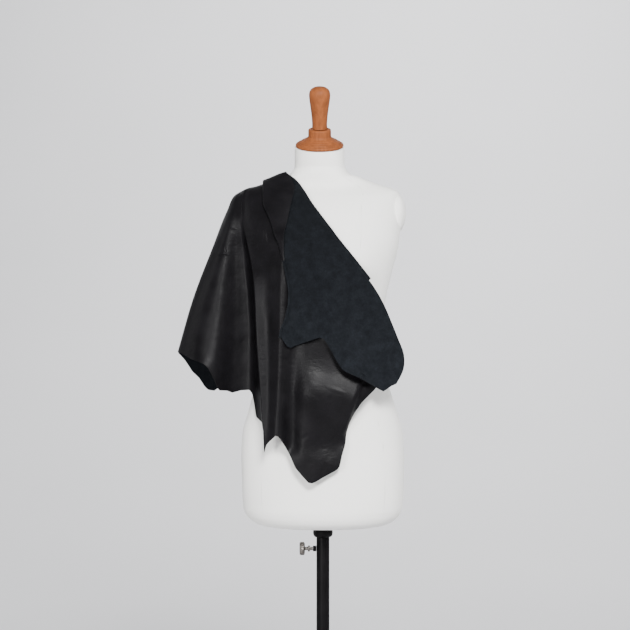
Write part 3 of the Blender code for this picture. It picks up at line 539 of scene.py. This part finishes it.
def turned(profile, segments, flutes=None):
    """Surface of revolution: (radius cos a, radius sin a, height); both ends close on the axis with a fan."""
    angle = np.linspace(0.0, 2 * math.pi, segments, endpoint=False)
    radius, height = profile[1:-1, 0][:, None], profile[1:-1, 1][:, None]
    if flutes is not None:
        count, depth, least = flutes
        radius = radius - depth * (0.5 - 0.5 * np.cos(count * angle))[None] * (radius > least)
    body = np.stack([radius * np.cos(angle), radius * np.sin(angle), height + 0 * angle], axis=-1)
    rings = len(body)
    vertices = np.vstack([body.reshape(-1, 3), [0, 0, profile[0, 1]], [0, 0, profile[-1, 1]]])
    index = np.arange(rings * segments).reshape(rings, segments)
    on = np.roll(index, -1, axis=1)
    quads = np.stack([index[:-1], on[:-1], on[1:], index[1:]], axis=-1).reshape(-1, 4)
    low, high = rings * segments, rings * segments + 1
    fans = np.vstack([np.stack([on[0], index[0], np.full(segments, low)], axis=1),
                      np.stack([index[-1], on[-1], np.full(segments, high)], axis=1)])
    return vertices, [*quads.tolist(), *fans.tolist()]


def placed(vertices, middle, tilt_x=0.0, tilt_y=0.0):
    """Points turned about X and Y, then moved to the middle."""
    cx, sx, cy, sy = math.cos(tilt_x), math.sin(tilt_x), math.cos(tilt_y), math.sin(tilt_y)
    about_x = np.array([[1, 0, 0], [0, cx, -sx], [0, sx, cx]])
    about_y = np.array([[cy, 0, sy], [0, 1, 0], [-sy, 0, cy]])
    return vertices @ (about_x @ about_y).T + np.array(middle)


def add_piece(name, vertices, faces, materials, nodes, sharp=40.0):
    """New mesh piece at the origin that rides on the root body and stands for the named nodes."""
    mesh = bpy.data.meshes.new(name)
    mesh.from_pydata(np.asarray(vertices, float).tolist(), [], faces)
    for surface in materials:
        mesh.materials.append(surface)
    mesh.shade_smooth()
    mesh.set_sharp_from_angle(angle=math.radians(sharp))
    piece = bpy.data.objects.new(name, mesh)
    bpy.context.scene.collection.objects.link(piece)
    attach(piece, "root")
    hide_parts(*nodes)
    return piece


def mark_seam(piece, away):
    """Distance of each vertex from the nearest seam, in mm, kept as an attribute."""
    mark = piece.data.attributes.new("seam_mm", "FLOAT", "POINT")
    mark.data.foreach_set("value", away.astype(np.float32))


def add_node(tree, kind, links=None, **settings):
    """New shader node with its settings; links maps a socket's name or number to a value or an output."""
    node = tree.nodes.new(kind)
    for key, value in settings.items():
        setattr(node, key, value)
    for key, value in (links or {}).items():
        if isinstance(value, bpy.types.NodeSocket):
            tree.links.new(value, node.inputs[key])
        else:
            node.inputs[key].default_value = value
    return node


def new_surface(name, **sockets):
    """Principled surface with constants on its sockets; gives material, tree and object coordinates."""
    surface = bpy.data.materials.new(name)
    surface.use_nodes = True
    tree = surface.node_tree
    for key, value in sockets.items():
        tree.nodes["Principled BSDF"].inputs[key.replace("_", " ")].default_value = value
    return surface, tree, add_node(tree, "ShaderNodeTexCoord").outputs["Object"]


def wire(surface, **outputs):
    """Surface with these outputs linked to its shader's sockets."""
    tree = surface.node_tree
    for key, output in outputs.items():
        tree.links.new(output, tree.nodes["Principled BSDF"].inputs[key.replace("_", " ")])
    return surface


def shade(colour, factor):
    """Colour times the factor, at most 1, with an alpha of 1."""
    return (*(min(1.0, factor * part) for part in colour[:3]), 1.0)


def noise(tree, place, scale, detail, **sockets):
    """Noise with scale features a metre."""
    return add_node(tree, "ShaderNodeTexNoise",
                    {"Vector": place, "Scale": scale, "Detail": detail, **sockets}).outputs["Fac"]


def remap(tree, value, source=(0.0, 1.0), target=(0.0, 1.0), kind="LINEAR"):
    """Value read from the source range on to the target range, in a straight line or a smooth step."""
    ranges = dict(zip(("From Min", "From Max", "To Min", "To Max"), (*source, *target)))
    return add_node(tree, "ShaderNodeMapRange", {"Value": value, **ranges},
                    interpolation_type=kind).outputs["Result"]


def blend(tree, value, share, base):
    """Value times its share, plus base."""
    return add_node(tree, "ShaderNodeMath", {0: value, 1: share, 2: base},
                    operation="MULTIPLY_ADD").outputs[0]


def bumps(tree, layers):
    """Normal through a chain of bumps, each a height, its strength and its distance in metres."""
    links = {}
    for height, strength, distance in layers:
        bump = add_node(tree, "ShaderNodeBump",
                        {"Height": height, "Strength": strength, "Distance": distance, **links})
        links = {"Normal": bump.outputs[0]}
    return bump.outputs[0]


def ramp(tree, factor, stops):
    """Colour ramp through (place, linear colour) stops."""
    node = add_node(tree, "ShaderNodeValToRGB", {"Fac": factor})
    element = node.color_ramp.elements
    element[0].position, element[0].color = stops[0]
    element[1].position, element[1].color = stops[-1]
    for place, colour in stops[1:-1]:
        element.new(place).color = colour
    return node.outputs["Color"]


def grain_leather(colour):
    """Full-grain leather, drum dyed black and lightly glazed: a soft broad gloss broken by pores, fine
    wrinkles and a few creases. Pores are 0.5 mm on the real skin and are drawn at 2.5 mm, or they would
    not show."""
    surface, tree, place = new_surface("full_grain_leather_black", IOR=1.48, Specular_IOR_Level=0.09)
    pores = add_node(tree, "ShaderNodeTexVoronoi", {"Vector": place, "Scale": 400.0, "Randomness": 1.0},
                     feature="SMOOTH_F1")
    flatter = add_node(tree, "ShaderNodeMapping", {"Vector": place, "Scale": (0.35, 0.35, 1.0)})
    wrinkles = noise(tree, flatter.outputs[0], 150.0, 4.0, Roughness=0.6)
    strong = remap(tree, noise(tree, place, 9.0, 2.0), (0.45, 0.65))
    creased = add_node(tree, "ShaderNodeMath", {0: wrinkles, 1: strong}, operation="MULTIPLY")
    soft = noise(tree, place, 22.0, 3.0)
    layers = [(pores.outputs["Distance"], 0.22, 0.0006), (creased.outputs[0], 0.5, 0.0014),
              (soft, 0.35, 0.006)]
    for crease in CREASES:
        there = add_node(tree, "ShaderNodeMapping", {
            "Vector": place, "Location": tuple(MM * c for c in crease["at"]),
            "Rotation": (0.0, math.radians(crease["turned"]), 0.0),
            "Scale": tuple(MM * c for c in crease["half"])}, vector_type="TEXTURE")
        away = add_node(tree, "ShaderNodeVectorMath", {0: there.outputs[0]}, operation="LENGTH")
        dent = remap(tree, away.outputs["Value"], target=(1.0, 0.0), kind="SMOOTHSTEP")
        layers.append((dent, 1.0, crease["rise"] * MM))
    tint = ramp(tree, soft, [(0.3, shade(colour, 0.75)), (0.7, shade(colour, 1.35))])
    return wire(surface, Base_Color=tint, Roughness=remap(tree, soft, (0.3, 0.7), (0.37, 0.47)),
                Normal=bumps(tree, layers))


def suede_leather(colour):
    """Flesh side of the hide, buffed suede: matt navy nap that clouds where the nap is laid either way.
    Painted shade makes it darker towards the shoulder and lighter towards the hem, by height. The nap's
    fibres are 0.2 mm and are drawn at 1.5 mm."""
    surface, tree, place = new_surface("buffed_suede_navy", Roughness=0.95, Specular_IOR_Level=0.06,
                                       Sheen_Weight=0.05, Sheen_Roughness=0.45,
                                       Sheen_Tint=(0.75, 0.80, 0.90, 1.0))
    clouds = noise(tree, place, 60.0, 8.0, Roughness=0.78)
    nap = noise(tree, place, 650.0, 3.0)
    tint = ramp(tree, blend(tree, nap, 0.35, clouds),
                [(0.50, shade(colour, 0.62)), (0.68, colour), (0.86, shade(colour, 1.5))])
    # Painted shade by height: the suede is drawn darker towards the shoulder and lighter towards the hem
    height = add_node(tree, "ShaderNodeSeparateXYZ", {"Vector": place}).outputs["Z"]
    painted_shade_by_height = remap(tree, height, (1.05, 1.40), (1.25, 0.72))
    tint = add_node(tree, "ShaderNodeVectorMath", {0: tint, "Scale": painted_shade_by_height}, operation="SCALE").outputs[0]
    return wire(surface, Base_Color=tint, Normal=bumps(tree, [(nap, 0.35, 0.0008), (clouds, 0.3, 0.003)]))


def cut_edge(colour):
    """Raw cut edge: matt dyed fibres, in a noise of about 1 mm."""
    surface, tree, place = new_surface("raw_cut_edge", Roughness=0.9, Specular_IOR_Level=0.2)
    fibres = noise(tree, place, 900.0, 3.0)
    return wire(surface, Base_Color=ramp(tree, fibres, [(0.35, shade(colour, 0.5)), (0.65, colour)]),
                Normal=bumps(tree, [(fibres, 0.4, 0.0004)]))


def knitted_cover(colour):
    """Cotton jersey pulled over padding: matt, with fine upright ribs and stitched seams. The ribs are 0.8 mm
    apart on a real cover and are drawn faintly, 10 mm apart; each seam is a sunk line 1.5 mm wide, from the
    attribute seam_mm, with painted shade that darkens the cloth along it."""
    surface, tree, place = new_surface("cotton_jersey_cream", Roughness=0.88, Specular_IOR_Level=0.25,
                                       Sheen_Weight=0.15, Sheen_Roughness=0.5)
    ribs = add_node(tree, "ShaderNodeTexWave", {"Vector": place, "Scale": 31.0, "Distortion": 0.6,
                                                "Detail": 2.0, "Detail Scale": 8.0},
                    wave_type="BANDS", bands_direction="X")
    fluff = noise(tree, place, 500.0, 3.0)
    padding = noise(tree, place, 7.0, 2.0)
    away = add_node(tree, "ShaderNodeAttribute", attribute_name="seam_mm")
    groove_and_painted_shade = remap(tree, away.outputs["Fac"], (0.0, 1.5), kind="SMOOTHSTEP")
    cloth = ramp(tree, padding, [(0.3, shade(colour, 0.95)), (0.7, colour)])
    # Painted shade: the cloth is drawn at 0.8 of its colour along the seams' sunk lines
    tint = add_node(tree, "ShaderNodeMix", {"Factor": groove_and_painted_shade, 6: shade(colour, 0.80), 7: cloth},
                    data_type="RGBA")
    layers = [(ribs.outputs["Fac"], 0.12, 0.0004), (fluff, 0.15, 0.0006), (groove_and_painted_shade, 0.6, 0.0010)]
    return wire(surface, Base_Color=tint.outputs[2], Normal=bumps(tree, layers))


def turned_wood(colour):
    """Turned beech, stained warm brown, low in sheen: growth streaks drawn out along the grain, and finer
    dark flecks."""
    surface, tree, place = new_surface("stained_turned_beech", Roughness=0.55, Specular_IOR_Level=0.12)
    grain_way = add_node(tree, "ShaderNodeMapping", {"Vector": place, "Rotation": (0.25, 0.30, 0.0),
                                                     "Scale": (1.0, 1.0, 0.09)}).outputs[0]
    rings = noise(tree, grain_way, 130.0, 5.0, Roughness=0.55, Distortion=0.6)
    mixed = blend(tree, noise(tree, grain_way, 800.0, 2.0), 0.3, rings)
    tint = ramp(tree, mixed, [(0.42, shade(colour, 0.74)), (0.64, colour), (0.84, shade(colour, 1.25))])
    return wire(surface, Base_Color=tint, Normal=bumps(tree, [(mixed, 0.15, 0.0003)]))


def black_enamel(colour):
    """Stoved black enamel on steel, low in shine, with a faint orange peel 2 mm across and dusty patches."""
    surface, tree, place = new_surface("stoved_black_enamel", Specular_IOR_Level=0.08)
    peel = noise(tree, place, 500.0, 2.0)
    dust = noise(tree, place, 30.0, 5.0)
    return wire(surface, Base_Color=ramp(tree, dust, [(0.4, colour), (0.75, shade(colour, 1.6))]),
                Roughness=remap(tree, dust, target=(0.36, 0.5)),
                Normal=bumps(tree, [(peel, 0.12, 0.0003)]))


def turned_steel(colour):
    """Nickel-plated turned steel, with faint tool rings 3 mm apart and rubbed patches."""
    surface, tree, place = new_surface("nickel_plated_steel", Metallic=1.0)
    tool = add_node(tree, "ShaderNodeTexWave", {"Vector": place, "Scale": 100.0, "Distortion": 0.3},
                    wave_type="BANDS", bands_direction="X")
    rubbed = noise(tree, place, 180.0, 4.0)
    return wire(surface, Base_Color=ramp(tree, rubbed, [(0.35, shade(colour, 0.7)), (0.6, colour)]),
                Roughness=remap(tree, rubbed, target=(0.22, 0.42)),
                Normal=bumps(tree, [(tool.outputs["Fac"], 0.15, 0.0002)]))


def studio_paper(colour):
    """Matt background paper, seamless, with a faint mottle."""
    surface, tree, place = new_surface("studio_paper", Roughness=1.0, Specular_IOR_Level=0.1)
    mottle = noise(tree, place, 1.2, 2.0)
    return wire(surface, Base_Color=ramp(tree, mottle, [(0.3, shade(colour, 0.97)), (0.7, colour)]))


def colour_property(name, description, hex_colour):
    """Colour setting, given as an sRGB hex value."""
    return bpy.props.FloatVectorProperty(name=name, description=description, subtype="COLOR", size=4,
                                         min=0.0, max=1.0, default=linear(hex_colour))


def count_property(name, description, default, low, high):
    """Setting that is a whole number."""
    return bpy.props.IntProperty(name=name, description=description, default=default, min=low, max=high)


def power_property(name, description, default):
    """Power of a lamp, in watts."""
    return bpy.props.FloatProperty(name=name, description=description, default=default, min=0.0,
                                   unit="POWER")


class HideSettings(bpy.types.PropertyGroup):
    """Sizes and colours of the hide."""
    thickness: bpy.props.FloatProperty(name="Thickness", description="Thickness of the leather",
                                       default=0.0014, min=0.001, max=0.003, unit="LENGTH")
    rows: count_property("Rows", "Rows of the mesh from the shoulder to a hem", 88, 20, 160)
    panel: count_property("Panel columns", "Columns across the front panel", 78, 17, 160)
    flap: count_property("Flap columns", "Columns across the folded flap", 52, 11, 120)
    cone: count_property("Cone rays", "Rays round the cone off the shoulder", 110, 24, 200)
    grain: colour_property("Grain side", "Dye of the glazed grain side", "#0c0b0d")
    suede: colour_property("Suede side", "Dye of the buffed flesh side", "#101215")
    edge: colour_property("Cut edge", "Colour of the raw edge", "#1a1819")


class FormSettings(bpy.types.PropertyGroup):
    """Mesh and colours of the dress form."""
    columns: count_property("Columns", "Columns of the mesh round the body", 192, 36, 400)
    cover: colour_property("Cover", "Cream knitted cover", "#f6f5f1")
    wood: colour_property("Wood", "Stained turned wood", "#7a4424")


class StandSettings(bpy.types.PropertyGroup):
    """Mesh and colours of the stand."""
    segments: count_property("Segments", "Segments round a turned piece", 96, 24, 200)
    enamel: colour_property("Enamel", "Black stoved enamel", "#080708")
    steel: colour_property("Steel", "Plated steel", "#77726d")


class StageSettings(bpy.types.PropertyGroup):
    """Backdrop's colour and the lights' power."""
    paper: colour_property("Paper", "Pale background paper", "#d6d6d8")
    key: power_property("Key light", "Power of the soft light above the camera", 400.0)
    fill: power_property("Fill light", "Power of the light from the left", 12.0)
    low: power_property("Low light", "Power of the low light, front left", 120.0)
    side: power_property("Side light", "Power of the light from the right", 55.0)
    backdrop: power_property("Paper light", "Power of the light on the paper behind", 315.0)
    sky: bpy.props.FloatProperty(name="Room light", description="Strength of the even light of the room",
                                 default=0.38, min=0.0)


class HIDE_OT_hide(bpy.types.Operator):
    """Build the draped leather hide"""
    bl_idname = "hide.leather"
    bl_label = "Leather hide"

    def execute(self, context):
        sizes = context.scene.hide_settings
        counts = {"rows": sizes.rows, "panel": sizes.panel, "flap": sizes.flap, "cone": sizes.cone}
        middle, faces, outline, bare = hide_middle(counts)
        normals = vertex_normals(middle, faces)
        count = len(middle)
        half = sizes.thickness / 2
        vertices = np.concatenate([middle + normals * half, middle - normals * half])
        edges = set(zip(faces.ravel().tolist(), np.roll(faces, -1, axis=1).ravel().tolist()))
        a, b = outline, np.roll(outline, -1)
        flip = np.array([pair in edges for pair in zip(a.tolist(), b.tolist())])
        a, b = np.where(flip, b, a), np.where(flip, a, b)
        rim = np.stack([a, b, b + count, a + count], axis=1)
        every = [*faces.tolist(), *(faces[:, ::-1] + count).tolist(), *rim.tolist()]
        piece = add_piece("leather_hide", vertices, every,
                          [grain_leather(sizes.grain), suede_leather(sizes.suede), cut_edge(sizes.edge)],
                          ["hide"], sharp=60.0)
        outward = np.concatenate([np.where(bare, 1, 0), np.full(len(faces), 1), np.full(len(rim), 2)])
        piece.data.polygons.foreach_set("material_index", outward)
        return {"FINISHED"}


class HIDE_OT_form(bpy.types.Operator):
    """Build the body, neck and arm plates of the dress form"""
    bl_idname = "hide.form"
    bl_label = "Dress form"

    def execute(self, context):
        sizes = context.scene.form_settings
        cloth = knitted_cover(sizes.cover)
        listed = np.array(FORM_SECTIONS["z"]) * MM
        steps = np.maximum(2, np.ceil(np.diff(listed) / LEVEL_STEP)).astype(int)
        levels = np.concatenate([np.linspace(a, b, n, endpoint=False)
                                 for a, b, n in zip(listed, listed[1:], steps)] + [listed[-1:]])
        smooth = {column: hermite(listed, np.array(FORM_SECTIONS[column]) * MM, levels)
                  for column in ("half", "front", "back")}
        angle = np.linspace(0.0, 2 * math.pi, sizes.columns, endpoint=False)
        c, s = np.cos(angle), np.sin(angle)
        across = np.sign(c) * np.abs(c) ** (2 / ROUNDNESS)
        deep = np.sign(s) * np.abs(s) ** (2 / ROUNDNESS)
        x = smooth["half"][:, None] * across
        y = np.where(s < 0, smooth["front"][:, None], smooth["back"][:, None]) * deep
        z = levels[:, None] + 0 * x
        y = y - np.where(s < 0, bust(x, z) * (1 - np.abs(across) ** BUST_EDGE_POWER), 0.0)
        body = np.stack([x + lean(z), y, z + drop(z) * x], axis=-1)
        front_seam, back_seam = (hermite(np.array(FORM_SEAMS["z"]) * MM, FORM_SEAMS[face], levels)[:, None]
                                 for face in ("front", "back"))
        seam_at = np.where(s < 0, front_seam, back_seam)
        step_x = np.gradient(x, axis=1)
        run = np.gradient(body[..., 1], axis=1) / np.where(np.abs(step_x) < 1e-5, 1e-5, step_x)
        seam = np.abs(np.abs(across) - seam_at) * smooth["half"][:, None]
        seam = seam * np.sqrt(1 + np.clip(run, -3, 3) ** 2)
        share = np.linspace(0.0, 1.0, NECK_RINGS)[1:, None]
        tilt = NECK_TILT * share
        start = np.array([LEAN_SHIFT, 0.0, listed[-1]])
        centre = start + (np.array(NECK_TOP) - start) * share
        radii = np.array([smooth["half"][-1], smooth["front"][-1], smooth["back"][-1]])
        radii = radii + (np.array(NECK_RADII) - radii) * smoothstep(share, 0, NECK_BLEND)
        nx = radii[:, :1] * across
        ny = np.where(s < 0, radii[:, 1:2], radii[:, 2:3]) * deep
        neck = np.stack([nx + centre[:, :1], ny * np.cos(tilt) + centre[:, 1:2],
                         ny * np.sin(tilt) + centre[:, 2:3]], axis=-1)
        rising = smoothstep(np.abs(x), COLLAR_FROM, COLLAR_TO)
        collar = np.where(s < 0, COLLAR_FRONT + (COLLAR_SIDE - COLLAR_FRONT) * rising, COLLAR_SIDE)
        seam = np.where(z < collar, np.minimum(seam, collar - z), z - collar)
        seam = np.vstack([seam, np.full(nx.shape, NO_SEAM_MM * MM)])
        rings = np.concatenate([body, neck])
        count, columns = rings.shape[:2]
        index = np.arange(count * columns).reshape(count, columns)
        on = np.roll(index, -1, axis=1)
        quads = np.stack([index[:-1], on[:-1], on[1:], index[1:]], axis=-1).reshape(-1, 4)
        faces = [*quads.tolist(), index[0, ::-1].tolist(), index[-1].tolist()]
        piece = add_piece("dress_form", rings.reshape(-1, 3), faces, [cloth], ["torso"])
        mark_seam(piece, seam.ravel() / MM)
        steps = np.linspace(0.0, math.pi, 40)
        ball = np.stack([np.sin(steps), -np.cos(steps)], axis=1)
        for side, node in ((-1, "arm_plate_left"), (1, "arm_plate_right")):
            vertices, faces = turned(ball, 72)
            vertices = vertices[:, [2, 1, 0]] * np.array([-1, 1, 1]) * np.array(PLATE_RADII)
            px, py, pz = PLATE_CENTRE
            middle = (side * px + float(lean(pz)), py, pz + float(drop(pz)) * side * px)
            plate = add_piece(node + "_cover", vertices + middle, faces, [cloth], [node])
            mark_seam(plate, np.full(len(vertices), NO_SEAM_MM))
        return {"FINISHED"}


class HIDE_OT_neck(bpy.types.Operator):
    """Build the turned wooden neck cap and its knob"""
    bl_idname = "hide.neck"
    bl_label = "Neck cap and knob"

    def execute(self, context):
        wood = turned_wood(context.scene.form_settings.wood)
        for name, profile, node, radius in (("turned_neck_cap", CAP_PROFILE, "neck_cap", 0.0012),
                                            ("turned_knob", KNOB_PROFILE, "neck_knob", 0.006)):
            vertices, faces = turned(rounded(np.array(profile) * MM, radius), 96)
            add_piece(name, placed(vertices, NECK_TOP, NECK_TILT), faces, [wood], [node], 50)
        return {"FINISHED"}


class HIDE_OT_stand(bpy.types.Operator):
    """Build the base, pole, socket and thumb screw"""
    bl_idname = "hide.stand"
    bl_label = "Stand"

    def execute(self, context):
        sizes = context.scene.stand_settings
        black, steel = black_enamel(sizes.enamel), turned_steel(sizes.steel)
        middle = (SOCKET_BOTTOM + SOCKET_TOP) / 2
        upright = {
            "base_disc": [(0, 0), (BASE_RADIUS - 0.002, 0), (BASE_RADIUS, 0.002),
                          (BASE_RADIUS, BASE_EDGE - 0.002), (BASE_RADIUS - 0.004, BASE_EDGE), (0.09, 0.015),
                          (0.036, BASE_CROWN), (HUB_RADIUS, BASE_CROWN + 0.003),
                          (HUB_RADIUS, HUB_TOP - 0.002), (HUB_RADIUS - 0.002, HUB_TOP), (0, HUB_TOP)],
            "pole": [(0, HUB_TOP + GAP), (POLE_RADIUS, HUB_TOP + GAP), (POLE_RADIUS, SOCKET_BOTTOM - GAP),
                     (0, SOCKET_BOTTOM - GAP)],
            "pole_socket": [(0, SOCKET_BOTTOM), (0.017, SOCKET_BOTTOM), (0.0205, SOCKET_BOTTOM + 0.004),
                            (SOCKET_RADIUS, middle), (0.0195, SOCKET_TOP - 0.005), (0.0165, SOCKET_TOP),
                            (0, SOCKET_TOP)],
        }
        for node, profile in upright.items():
            vertices, faces = turned(rounded(profile, 0.0015), sizes.segments)
            add_piece(node + "_enamelled", vertices, faces, [black], [node])
        start, first = POLE_RADIUS + GAP, BOSS_END + GAP
        boss = rounded([(0, start), (BOSS_RADIUS, start), (BOSS_RADIUS, BOSS_END), (0, BOSS_END)], 0.0008)
        screw = rounded([(0, first), (0.0036, first), (0.0036, 0.0275), (0.0066, 0.028), (0.0066, 0.032),
                         (0.0036, 0.0325), (0.0036, 0.0385), (0.012, 0.0390), (0.0143, 0.0410),
                         (0.0143, 0.0480), (0.012, 0.0502), (0, 0.0502)], 0.0007)
        at = (0, 0, SCREW_HEIGHT)
        vertices, faces = turned(boss, 48)
        add_piece("screw_boss_enamelled", placed(vertices, at, 0.0, -math.pi / 2), faces, [black],
                  ["screw_boss"])
        vertices, faces = turned(screw, 144, flutes=(24, 0.0005, 0.0125))
        add_piece("thumb_screw_plated", placed(vertices, at, 0.0, -math.pi / 2), faces, [steel],
                  ["thumb_screw"])
        return {"FINISHED"}


class HIDE_OT_stage(bpy.types.Operator):
    """Build the backdrop, lights and camera"""
    bl_idname = "hide.stage"
    bl_label = "Stage"

    def execute(self, context):
        sizes = context.scene.stage_settings
        angle = np.linspace(0.0, math.pi / 2, 25)
        curve = np.stack([PAPER_FAR - PAPER_BEND + PAPER_BEND * np.sin(angle),
                          PAPER_BEND - PAPER_BEND * np.cos(angle)], axis=1)
        line = np.vstack([[(PAPER_FROM, 0.0)], curve, [(PAPER_FAR, PAPER_HIGH)]])
        vertices = np.column_stack([np.tile([-PAPER_HALF, PAPER_HALF], len(line)),
                                    np.repeat(line, 2, axis=0)])
        index = np.arange(len(vertices)).reshape(-1, 2)
        faces = np.stack([index[:-1, 0], index[:-1, 1], index[1:, 1], index[1:, 0]], axis=-1)
        mesh = bpy.data.meshes.new("paper_sweep")
        mesh.from_pydata(vertices.tolist(), [], faces.tolist())
        mesh.materials.append(studio_paper(sizes.paper))
        mesh.shade_smooth()
        sweep = bpy.data.objects.new("paper_sweep", mesh)
        context.scene.collection.objects.link(sweep)
        lights = (("key_light", (0.6, -4.0, 3.35), (0.0, 0.0, 1.15), 1.1, sizes.key),
                  ("low_light", (-2.0, -3.9, 1.6), (-0.1, 0.0, 1.15), 0.8, sizes.low),
                  ("fill_light", (-3.3, 0.2, 2.4), (-0.1, 0.0, 1.15), 0.8, sizes.fill),
                  ("side_light", (3.4, -1.2, 2.2), (0.0, 0.0, 1.15), 1.4, sizes.side),
                  ("paper_light", (0.8, 3.4, 4.8), (0.6, 6.6, 1.4), 3.0, sizes.backdrop))
        for name, place, target, size, power in lights:
            lamp = bpy.data.lights.new(name, "AREA")
            lamp.size, lamp.energy = size, power
            light = bpy.data.objects.new(name, lamp)
            way = np.array(target) - np.array(place)
            flat = math.hypot(way[0], way[1])
            light.rotation_euler = (math.atan2(flat, -way[2]), 0.0, math.atan2(-way[0], way[1]))
            light.location = place
            context.scene.collection.objects.link(light)
        world = bpy.data.worlds.new("even_room_light")
        world.use_nodes = True
        back = world.node_tree.nodes["Background"]
        back.inputs["Color"].default_value = (0.96, 0.97, 1.0, 1.0)
        back.inputs["Strength"].default_value = sizes.sky
        context.scene.world = world
        camera = bpy.data.cameras.new("photo_camera")
        camera.sensor_width = SENSOR_MM
        camera.lens = SENSOR_MM * EYE_AWAY / (PICTURE_PIXELS * METRES_A_PIXEL)
        eye = bpy.data.objects.new("photo_camera", camera)
        eye.location = (EYE_X, -EYE_AWAY, EYE_Z)
        eye.rotation_euler = (math.pi / 2, 0.0, 0.0)
        context.scene.collection.objects.link(eye)
        context.scene.camera = eye
        return {"FINISHED"}


class HIDE_PT_panel(bpy.types.Panel):
    """Sidebar panel with each piece's button and sizes"""
    bl_idname = "HIDE_PT_panel"
    bl_label = "Leather hide"
    bl_space_type = "VIEW_3D"
    bl_region_type = "UI"
    bl_category = "Hide"

    def draw(self, context):
        for operator in OPERATORS:
            self.layout.operator(operator.bl_idname)
        for group in GROUPS:
            settings = getattr(context.scene, group)
            for key in GROUPS[group].__annotations__:
                self.layout.prop(settings, key)


GROUPS = {"hide_settings": HideSettings, "form_settings": FormSettings, "stand_settings": StandSettings,
          "stage_settings": StageSettings}
OPERATORS = (HIDE_OT_form, HIDE_OT_neck, HIDE_OT_stand, HIDE_OT_hide, HIDE_OT_stage)


def register():
    for name, group in GROUPS.items():
        bpy.utils.register_class(group)
        setattr(bpy.types.Scene, name, bpy.props.PointerProperty(type=group))
    for operator in OPERATORS:
        bpy.utils.register_class(operator)
    bpy.utils.register_class(HIDE_PT_panel)


def unregister():
    bpy.utils.unregister_class(HIDE_PT_panel)
    for operator in reversed(OPERATORS):
        bpy.utils.unregister_class(operator)
    for name, group in reversed(GROUPS.items()):
        delattr(bpy.types.Scene, name)
        bpy.utils.unregister_class(group)


def main():
    """Registers the add-on and builds every piece and the stage."""
    register()
    bpy.ops.hide.form()
    bpy.ops.hide.neck()
    bpy.ops.hide.stand()
    bpy.ops.hide.leather()
    bpy.ops.hide.stage()


if __name__ == "__main__":
    main()
